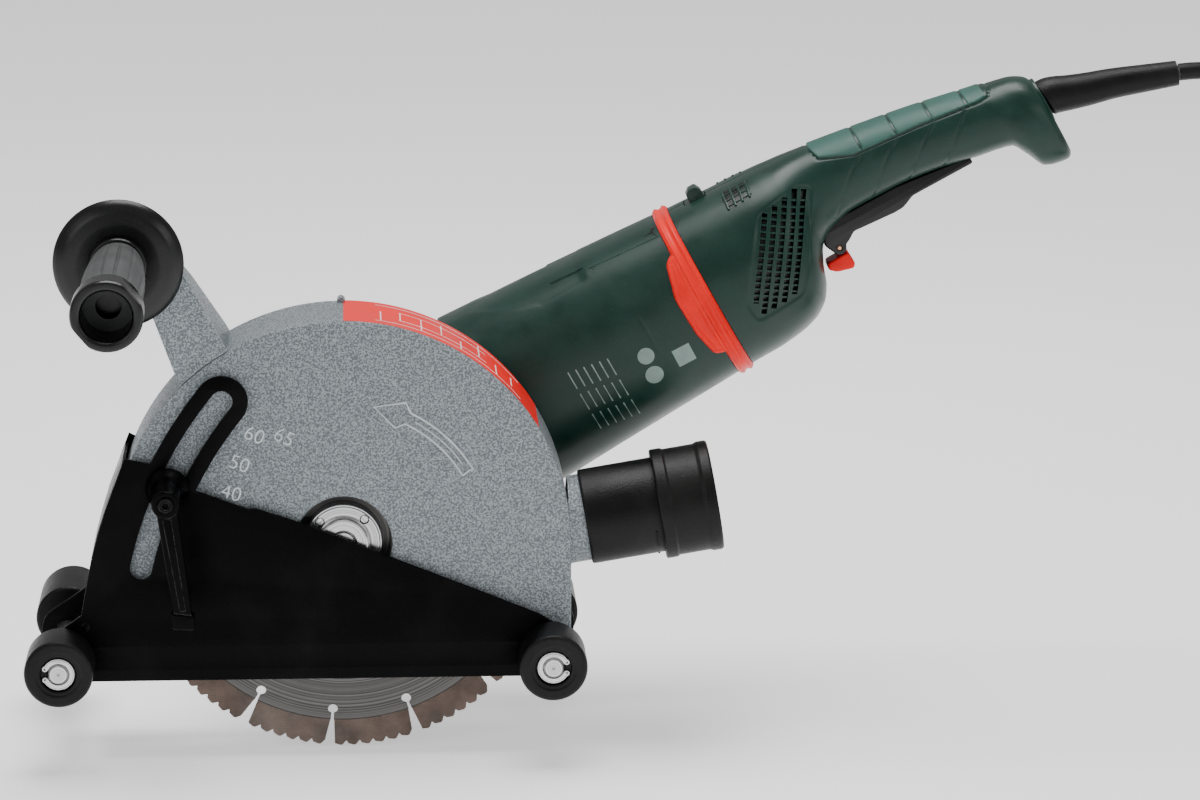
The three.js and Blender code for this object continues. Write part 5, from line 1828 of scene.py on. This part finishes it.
# ---- rear handle
@dataclass(frozen=True)
class RearHandle:
    """The turning rear handle: two shells, vents, soft insert, latch and bend guard."""

    wall: float = 3.0
    slot_lean: float = 35.4
    slot_half: float = 1.55
    slots: tuple[Point3, ...] = (
        (262.9, 8.7, 24), (266.8, 5.3, 29), (273.1, 5.4, 29.5), (279.8, 5.8, 29.8), (285.4, 4.8, 27.5)
    )
    recess: tuple[Point2, ...] = (
        (273, 29.9), (299.2, 31.5), (305.8, 26.4), (287, -4.3), (274.1, -20.8), (245.4, -21.2), (244.3, -9.9)
    )
    insert: tuple[Point2, ...] = (
        (313, 47.0), (313, 42.5), (315.6, 36), (333.4, 28.8), (371, 24.9), (406, 19.7), (412, 19.8),
        (416, 25.5),
        (410, 34.0)
    )

    def relief(self, u: np.ndarray, v: np.ndarray) -> np.ndarray:
        """Returns the skin's offsets: vent recess, insert edge and swoosh seams."""
        inside = depth_inside(fillet(self.recess, 3.5), u, v)
        out = -0.9 * eased(inside, -0.8, 0.8)
        seat = depth_inside(self.insert, u, v)
        out = out - 0.6 * np.exp(-((seat / 0.55) ** 2)) + 0.35 * eased(seat, -0.2, 0.7)
        for line in self.swooshes():
            for (u0, v0), (u1, v1) in zip(line, line[1:]):
                du, dv = u1 - u0, v1 - v0
                along = np.clip(((u - u0) * du + (v - v0) * dv) / (du**2 + dv**2), 0, 1)
                gap = np.hypot(u - u0 - along * du, v - v0 - along * dv)
                out = np.minimum(out, np.where(seat > -1, out, -0.5 * np.exp(-((gap / 0.6) ** 2))))
        return out

    def swooshes(self) -> list[list[Point2]]:
        """Returns the curved seams below the insert."""
        ends = [
            ((336.3, 27.5), (326.5, 20.6), (308.4, 2.5)),
            ((358.2, 25.5), (345.2, 16.9), (333.2, 2.5)),
            ((380.1, 23.0), (367.4, 14.8), (353.7, 0.5)),
            ((397.8, 20.5), (386.8, 10.7), (373.8, -2.2)),
        ]
        return [fillet(line, 12, closed=False, steps=6) for line in ends]

    def shell(self, side: Side) -> Piece:
        """Builds one half of the handle with its openings."""
        last = 437.4
        stations = np.concatenate([np.linspace(231.3, 232, 3), np.arange(232.8, 437.0, 0.85), [437.2, last]])
        middle = math.pi if side is Side.NEAR else 0.0
        reach = math.pi / 2 - 0.004
        turns = (middle - reach, middle + reach)

        def grow(u: np.ndarray, v: np.ndarray) -> np.ndarray:
            """Returns the relief, drawn in over the rounded rear end."""
            rim = 1 - np.sqrt(np.clip(1 - ((u - 433.6) / 4.2) ** 2, 0, 1)) * (u > 433.6) - (u <= 433.6)
            return self.relief(u, v) - 3.0 * rim

        body = oval_shell(f"handle_{side.name.lower()}", HANDLE_OVAL, stations, grow, self.wall, 150, turns)
        cuts = [block("slot", (288.5, -9.6, -40), (390, 9.6, 6), MOTOR),
                block("latch_hole", (240.5, -6, 30), (253.5, 6, 60), MOTOR)]
        for u, v, half in self.slots:
            reach = self.slot_half
            cuts.append(block("vent", (-reach, -60, -half), (reach, 60, half), self.leaning(u, v)))
        for cut in cuts:
            body = combine(body, cut, Join.CUT)
        return body

    def leaning(self, u: float, v: float) -> Matrix:
        """Returns the place of a vent slot or rib, which lean together."""
        return MOTOR @ Matrix.Translation((u, 0, v)) @ Matrix.Rotation(math.radians(self.slot_lean), 4, "Y")

    def vent_ribs(self, side: Side) -> Piece:
        """Builds the cross ribs behind the vent slots."""
        low, high = sorted((side.value * 12.0, side.value * 60.0))
        lean = self.leaning(274, 5)
        bar = block(f"vent_ribs_{side.name.lower()}", (-17, low, -30.2), (17, high, -29.3), lean)
        step = lean.to_3x3() @ Vector((0, 0, 3.4))
        ribs = row_copies(bar, 18, step, Finishes.green)
        band = oval_shell("rib_band", HANDLE_OVAL, np.arange(240, 305, 1.0), -1.6, 2.0, 120)
        return combine(ribs, band, Join.KEEP)

    def vent_shade_sheet(self, side: Side) -> Piece:
        """Builds the dark sheet behind the vent slots: painted shade in place of the handle's inside."""
        middle = math.pi if side is Side.NEAR else 0.0
        turns = (middle - 1.05, middle + 1.05)
        return oval_shell(f"vent_liner_{side.name.lower()}", HANDLE_OVAL, np.arange(242, 303, 1.5), -4.0,
                          0.8, 60, turns)

    def end_cap(self) -> Piece:
        """Builds the thick end's closing wall round the cable."""
        stations = np.array([431.0, 434.5, 436.2, 437.3])
        angles = np.linspace(0, 2 * math.pi, 120, endpoint=False)
        rows = HANDLE_OVAL.skin(stations, angles, np.array([-2.9, -2.9, -3.0, -3.4])[:, None])
        body = rings("handle_end", [[tuple(p) for p in row] for row in rows], MOTOR)
        hole = turned("hole", [(0, 425), (8.6, 425), (8.6, 445), (0, 445)], MOTOR @ ALONG_X, 48)
        collar = turned("collar", [(8.6, 433), (13.6, 433), (13.2, 438.2), (8.6, 438.2)], MOTOR @ ALONG_X,
                        64, 0.7, True)
        return combine(combine(body, hole, Join.CUT), collar, Join.ADD)

    def grip_insert(self) -> Piece:
        """Builds the soft insert on top, with its cross notches."""
        stations = np.arange(313.4, 411.0, 0.6)
        angles = np.linspace(0, math.pi, 150)
        plain = HANDLE_OVAL.skin(stations, angles)
        u, v = plain[:, :, 0], plain[:, :, 2]
        seat = depth_inside(self.insert, u, v)
        notch = sum(np.exp(-(((u - at_u) / 0.7) ** 2)) for at_u in (338.8, 359.1, 379.5, 399.6))
        out = -1.2 + 2.0 * eased(seat, -0.1, 1.1) - 0.9 * notch * eased(seat, 0.0, 2.0)
        grid = HANDLE_OVAL.skin(stations, angles, out)
        inner = HANDLE_OVAL.skin(stations, angles, -1.9)
        rows = []
        for row, low in zip(grid, inner):
            rows.append([*(tuple(p) for p in row), *(tuple(p) for p in reversed(low))])
        return rings("insert", rows, MOTOR)

    def latch(self) -> Piece:
        """Builds the faceted latch button."""
        line = fillet([(243.8, 46.0), (243.8, 51.4), (246.5, 53.5), (250.5, 53.5), (252.4, 50.0),
                       (252.4, 46.0)], 0.8)
        cap = plate("latch", [line], -5.0, 5.0, 0.7, MOTOR)
        return combine(cap, block("latch_stem", (241, -5.3, 36), (253, 5.3, 47.2), MOTOR), Join.ADD)

    def top_vent(self, side: Side) -> list[Piece]:
        """Builds the small vent beside the latch: a dark patch of painted shade for its open windows, with
        three windows' ribs.
        """
        outline = fillet([(259.5, 42.6), (262.5, 45.6), (277.6, 45.0), (273.5, 38.8), (260.8, 38.2)], 1.2)
        shade_field = patch(f"top_vent_{side.name.lower()}", HANDLE_OVAL, outline, side, 0.1)
        ribs = []
        for k in range(4):
            line = [(260.8 + 4.4 * k, 38.4), (261.6 + 4.6 * k, 45.2)]
            ribs.append(seam("rib", HANDLE_OVAL, line, side, 0.75, 0.2))
        for k in range(3):
            line = [(260.4, 39.6 + 2.2 * k), (275.8, 39.4 + 2.2 * k)]
            ribs.append(seam("rib", HANDLE_OVAL, line, side, 0.4, 0.2))
        return [shade_field, merge(f"top_vent_ribs_{side.name.lower()}", ribs)]

    def sleeve(self) -> Piece:
        """Builds the tapering bend guard of the cable."""
        path = [(414, 0, 0), (436, 0, 0), (442.2, 0, 0), (452, 0, -3.6), (462, 0, -7), (475, 0, -11),
                (490, 0, -16.6), (508, 0, -23.4)]
        line = smooth_line(path, 5)
        stations, sizes = (414, 438, 438.5, 452, 475, 508), (8, 8, 10.6, 9.6, 8.3, 6.8)
        radii = [float(np.interp(spot.x, stations, sizes)) for spot in line]
        return tube("bend_guard", line, radii, 48, MOTOR)

    def build(self) -> Piece:
        """Builds and dresses the handle, and returns the bend guard."""
        for side in Side:
            name = side.name.lower()
            install(self.shell(side), Finishes.green, "rear_handle", [f"handle_shell_{name}"])
            install(self.vent_ribs(side), Finishes.green, "rear_handle")
            shade_field, bars = self.top_vent(side)
            # dark patch under the top vent's ribs: painted shade
            install(shade_field, Finishes.recess, "rear_handle")
            install(bars, Finishes.green, "rear_handle")
            # dark sheet behind the vents: painted shade
            install(self.vent_shade_sheet(side), Finishes.recess, "rear_handle")
        install(self.end_cap(), Finishes.green, "rear_handle")
        install(self.grip_insert(), Finishes.soft, "rear_handle", ["grip_insert"])
        install(self.latch(), Finishes.green, "latch_button", ["handle_latch_button"])
        return install(self.sleeve(), Finishes.rubber, "rear_handle", ["cable_sleeve"])


@dataclass(frozen=True)
class Trigger:
    """The long paddle with the red lock-off lever and its pin."""

    pin: Point2 = (302.5, -14.9)
    half: float = 8.6

    def paddle(self) -> Piece:
        """Builds the paddle."""
        line = fillet(
            [(388, -9.8), (351, -9.4), (343.5, -12.6), (338, -12.8), (313.7, -10.8), (309, -14),
             (306.7, -14.9),
             (305.5, -17.9), (302.5, -19.1), (299.5, -17.9), (298.3, -14.9), (296, -10), (298, -3.5),
             (312, 0.5),
             (345, 0), (380, -4.4), (388, -6.6)], 1.2, steps=3)
        body = plate("paddle", [line], -self.half, self.half, 1.1, MOTOR)
        body = combine(body, block("slot", (290, -3.4, -30), (308.5, 3.4, -8), MOTOR), Join.CUT)
        return combine(body, self.bore(), Join.CUT)

    def bore(self) -> Piece:
        """Builds the cutter for the pin's bore."""
        u, v = self.pin
        return turned("bore", [(0, -12), (1.7, -12), (1.7, 12), (0, 12)], MOTOR @ at(u, v), 24)

    def lever(self) -> Piece:
        """Builds the red lever."""
        pad_line = fillet([(292.6, -19.4), (305.4, -19.4), (306, -27), (304, -29), (295, -26.4),
                           (291.4, -23)], 1.5)
        pad = plate("lock_lever", [pad_line], -7.5, 7.5, 1.2, MOTOR)
        arm = plate("lock_arm", [[(299, -26), (305.5, -26), (305.5, -12), (299.5, -12)]], -3, 3, 0.5, MOTOR)
        return combine(combine(pad, arm, Join.ADD), self.bore(), Join.CUT)

    def build(self) -> None:
        """Builds and dresses the trigger."""
        u, v = self.pin
        install(self.paddle(), Finishes.plastic, "trigger", ["trigger_paddle"])
        install(self.lever(), Finishes.red, "lock_off", ["lock_off_lever"])
        profile = [(0, -8.5), (1.0, -8.5), (1.4, -8.1), (1.4, 8.1), (1.0, 8.5), (0, 8.5)]
        install(turned("lever_pin", profile, MOTOR @ at(u, v), 24), Finishes.copper, "trigger",
                ["lock_pin"])


class Internals:
    """The plain inner parts, which are never in view together but get finishes of their own."""

    finishes = {
        "handle_stud": Finishes.steel,
        "crown_gear": Finishes.iron,
        "spindle_bearing": Finishes.steel,
        "gear_cover": Finishes.aluminium,
        "armature_shaft": Finishes.steel,
        "pinion_gear": Finishes.iron,
        "armature_bearing_front": Finishes.steel,
        "armature_bearing_rear": Finishes.steel,
        "cooling_fan": Finishes.plastic,
        "rotor_core": Finishes.iron,
        "commutator": Finishes.copper,
        "stator": Finishes.iron,
        "bearing_bracket": Finishes.aluminium,
        "carbon_brush_near": Finishes.rubber,
        "carbon_brush_far": Finishes.rubber,
        "switch_block": Finishes.plastic,
    }

    def build(self) -> None:
        """Dresses the carried-over parts."""
        for name, finish in self.finishes.items():
            dress(bpy.data.objects[name], finish.build())
            LOG.info("%-26s carried over", name)


# ---- lead
@dataclass(frozen=True)
class Lead:
    """The mains lead: down from the handle, into a tied coil on the floor, and up to its plug."""

    x: float = 564.4
    y: float = 20.0
    radii: tuple[float, float, float] = (59.4, 50.0, 40.6)
    layer: float = 9.4
    low: float = -110.3
    per_turn: int = 20
    tail_rise: float = 9.2

    def drop(self) -> list[Vector]:
        """Returns the line from the handle to the start of the coil."""
        points = [
            (454.9, 105, 230.3), (466, 105, 231.6), (478, 105, 230), (489, 105, 224.5), (498, 105, 215),
            (503, 105, 203), (505, 105, 188), (505, 105, 150), (505, 105, 110), (505, 105, 70),
            (505, 105, 30),
            (505, 105, -10), (505, 105, -40), (505, 105, -60), (505, 102.5, -79), (505, 94, -97),
            (505, 80, -108), (505, 64, -110), (505, 54.8, -110.1), (505, 40, -110.2), (505, 28, -110.3),
        ]
        return [Vector(p) for p in points]

    def coil(self) -> list[Vector]:
        """Returns the coil's line, turn by turn; each layer passes over three radii."""
        out, mid, inn = self.radii
        first, second, climb = (0.75, 0.83), (0.92, 1.0), (0.83, 0.92)
        turns = [
            (out, mid, 0, 0, first), (mid, inn, 0, 0, second), (inn, inn, 0, 1, climb),
            (inn, mid, 1, 1, first), (mid, out, 1, 1, second), (out, out, 1, 2, climb),
            (out, mid, 2, 2, first), (mid, inn, 2, 2, second), (inn, inn, 2, 3, climb),
            (inn, mid, 3, 3, first),
        ]
        made = []
        for r0, r1, z0, z1, window in turns:
            for k in range(self.per_turn):
                share = k / self.per_turn
                t = float(eased(share, *window))
                level = self.low + self.layer * (z0 + (z1 - z0) * t)
                made.append(self.spot(r0 + (r1 - r0) * t, 180 + 360 * share, level))
        top = self.low + 3 * self.layer
        steps = int(self.per_turn * 4 / 3)
        for k in range(steps):
            share = k / self.per_turn
            rise = float(eased(share, 0.14, 0.25)) * (self.layer + 0.4)
            made.append(self.spot(mid, 180 + 360 * share, top + rise))
        return made

    def spot(self, radius: float, degrees: float, z: float) -> Vector:
        """Returns a point of the coil."""
        x, y = polar(self.x, self.y, radius, degrees)
        return Vector((x, y, z))

    def tail(self) -> list[Vector]:
        """Returns the line from the coil up to the plug."""
        start = self.low + 4 * self.layer + 0.4
        made = []
        for k in range(5):
            share = k / 4
            rise = float(eased(share, 0.0, 1.0))
            made.append(self.spot(self.radii[1], 300 + 60 * share, start + self.tail_rise * rise))
        return [*made, Vector((self.x + self.radii[1], 25.7, start + self.tail_rise))]

    def build(self, plug: Piece, sleeve: Piece, tie: Piece) -> None:
        """Args:
            plug: The plug on its end; not used.
            sleeve: The bend guard at its start; not used.
            tie: The strap round the coil; not used.
        """
        line = [*self.drop(), *self.coil(), *self.tail()]
        curve = bpy.data.curves.new("mains_lead", "CURVE")
        curve.dimensions = "3D"
        curve.bevel_depth = CORD_R * MM
        curve.bevel_resolution = 5
        curve.resolution_u = 3
        curve.use_fill_caps = True
        spline = curve.splines.new("NURBS")
        spline.points.add(len(line) - 1)
        spline.order_u = 3
        spline.use_endpoint_u = True
        for point, spot in zip(spline.points, line):
            point.co = (*(spot * MM), 1.0)
        lead = linked("mains_lead", curve)
        install(lead, Finishes.rubber, "rear_handle", ["power_cord", "cord_coil", "cord_tail"])

    def plug(self) -> Piece:
        """Builds the moulded plug with two pins."""
        x, z = self.x + self.radii[1], self.low + 4 * self.layer + 0.4 + self.tail_rise
        profile = [(0, 26), (5.6, 26), (6.4, 33), (7, 40), (9, 44), (13.5, 50), (13.5, 74), (12.5, 75),
                   (0, 75)]
        grips = turned("plug_body", profile, at(x, z), 64, 0.9, ripple=self.ribbed)
        pins = [turned("pin", [(0, 74), (2.4, 74), (2.4, 93), (1.6, 94), (0, 94)], at(x + side, z), 24)
                for side in (-9.5, 9.5)]
        metal = merge("plug_pins", pins)
        install(metal, Finishes.steel, "rear_handle")
        metal.parent = grips
        return install(grips, Finishes.rubber, "rear_handle", ["plug"])

    def ribbed(self, radius: float, y: float, turn: float) -> float:
        """Returns the plug's radius with its finger grooves."""
        if 52 < y < 72:
            return radius
        return radius if y > 44 or y < 27 else radius * (1 + 0.04 * math.cos(y * 1.6) * math.cos(turn) ** 2)

    def tie(self) -> Piece:
        """Builds the strap round the coil."""
        loop = []
        out, low = 15.6, self.low - 4.5
        corners = fillet([(-out, low), (out, low), (out, low + 38.2), (-out, low + 38.2)], 5, steps=6)
        angle = math.radians(65)
        turn = Vector((math.cos(angle), math.sin(angle), 0.0))
        across = Vector((-math.sin(angle), math.cos(angle), 0.0))
        base = Vector((self.x, self.y, 0.0)) + turn * self.radii[1]
        for reach, height in corners:
            loop.append(base + turn * reach + Vector((0, 0, height)))
        rows = []
        for spot in [*loop, loop[0]]:
            out_dir = (spot - base - Vector((0, 0, low + 19.1))).normalized()
            rows.append([tuple(spot + across * w + out_dir * t) for w,
                         t in ((-5, 0), (5, 0), (5, 0.9), (-5, 0.9))])
        return install(rings("coil_tie", rows, cap=False), Finishes.rubber, "rear_handle")


# ---- studio
@dataclass(frozen=True)
class Studio:
    """The camera, the pale floor and the lights."""

    azimuth: float = -3.38
    elevation: float = 14.0
    roll: float = 0.24
    distance: float = 2.3
    target: Point3 = (0.1348, 0.0, 0.07645)
    lens: float = 131.79
    floor: float = -0.1165
    floor_glow: float = 0.6

    def camera(self) -> None:
        """Places the camera."""
        a, e, r = (math.radians(value) for value in (self.azimuth, self.elevation, self.roll))
        back = Vector((math.sin(a) * math.cos(e), -math.cos(a) * math.cos(e), math.sin(e)))
        right = (-back).cross(Vector((0, 0, 1))).normalized()
        up = right.cross(-back)
        right, up = right * math.cos(r) + up * math.sin(r), up * math.cos(r) - right * math.sin(r)
        data = bpy.data.cameras.new("camera")
        data.lens = self.lens
        data.sensor_width = 36.0
        eye = linked("camera", data)
        spot = Vector(self.target) + back * self.distance
        turn = Matrix((right, up, back)).transposed().to_4x4()
        eye.matrix_world = Matrix.Translation(spot) @ turn
        bpy.context.scene.camera = eye

    def light(self, name: str, spot: Point3, size: float, power: float) -> Piece:
        """Adds a square soft light that faces the object."""
        data = bpy.data.lights.new(name, "AREA")
        data.size = size
        data.energy = power
        lamp = linked(name, data)
        toward = Vector(self.target) - Vector(spot)
        lamp.matrix_world = Matrix.Translation(spot) @ toward.to_track_quat("-Z", "Y").to_matrix().to_4x4()
        return lamp

    def build(self) -> None:
        """Builds the studio."""
        self.camera()
        floor = add_mesh("floor", [(-9000, -9000, 0), (9000, -9000, 0), (9000, 9000, 0), (-9000, 9000, 0)],
                         [(0, 1, 2, 3)], Matrix.Translation((0, 0, self.floor / MM)))
        ground = Finish("studio_floor", (0.93, 0.93, 0.93), 0.7, grain_scale=40.0, grain_depth=0.0,
                        mottle=0.01,
                        edge_wear_and_highlight=0.0, dust=0.0)
        material = ground.build()
        shader = material.node_tree.nodes["Principled BSDF"]
        shader.inputs["Emission Color"].default_value = (1.0, 1.0, 1.0, 1.0)
        shader.inputs["Emission Strength"].default_value = self.floor_glow
        dress(floor, material)
        lamps = [
            self.light("overhead", (0.1, 0.25, 1.7), 1.1, 34.0),
            self.light("front_left", (-1.5, -1.9, 1.1), 1.2, 8.0),
            self.light("front_right", (1.7, -1.6, 0.9), 0.9, 5.0),
        ]
        world = bpy.data.worlds.new("studio_world")
        world.use_nodes = True
        background = world.node_tree.nodes["Background"]
        background.inputs["Color"].default_value = (1.0, 1.0, 1.0, 1.0)
        background.inputs["Strength"].default_value = 0.42
        bpy.context.scene.world = world


def main() -> None:
    """Builds the machine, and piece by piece."""
    logging.basicConfig(level=logging.INFO, format="%(message)s")
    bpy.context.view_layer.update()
    Studio().build()
    ExtractionHood().build()
    HoseEnd().build()
    SideHandle().build()
    CuttingSet().build()
    DepthGuide().build()
    RollerSet("front", FRONT_X, 180.0).build()
    RollerSet("rear", REAR_X, 0.0).build()
    GearHead().build()
    MotorBody().build()
    sleeve = RearHandle().build()
    Trigger().build()
    Internals().build()
    lead = Lead()
    lead.build(lead.plug(), sleeve, lead.tie())


if __name__ == "__main__":
    main()
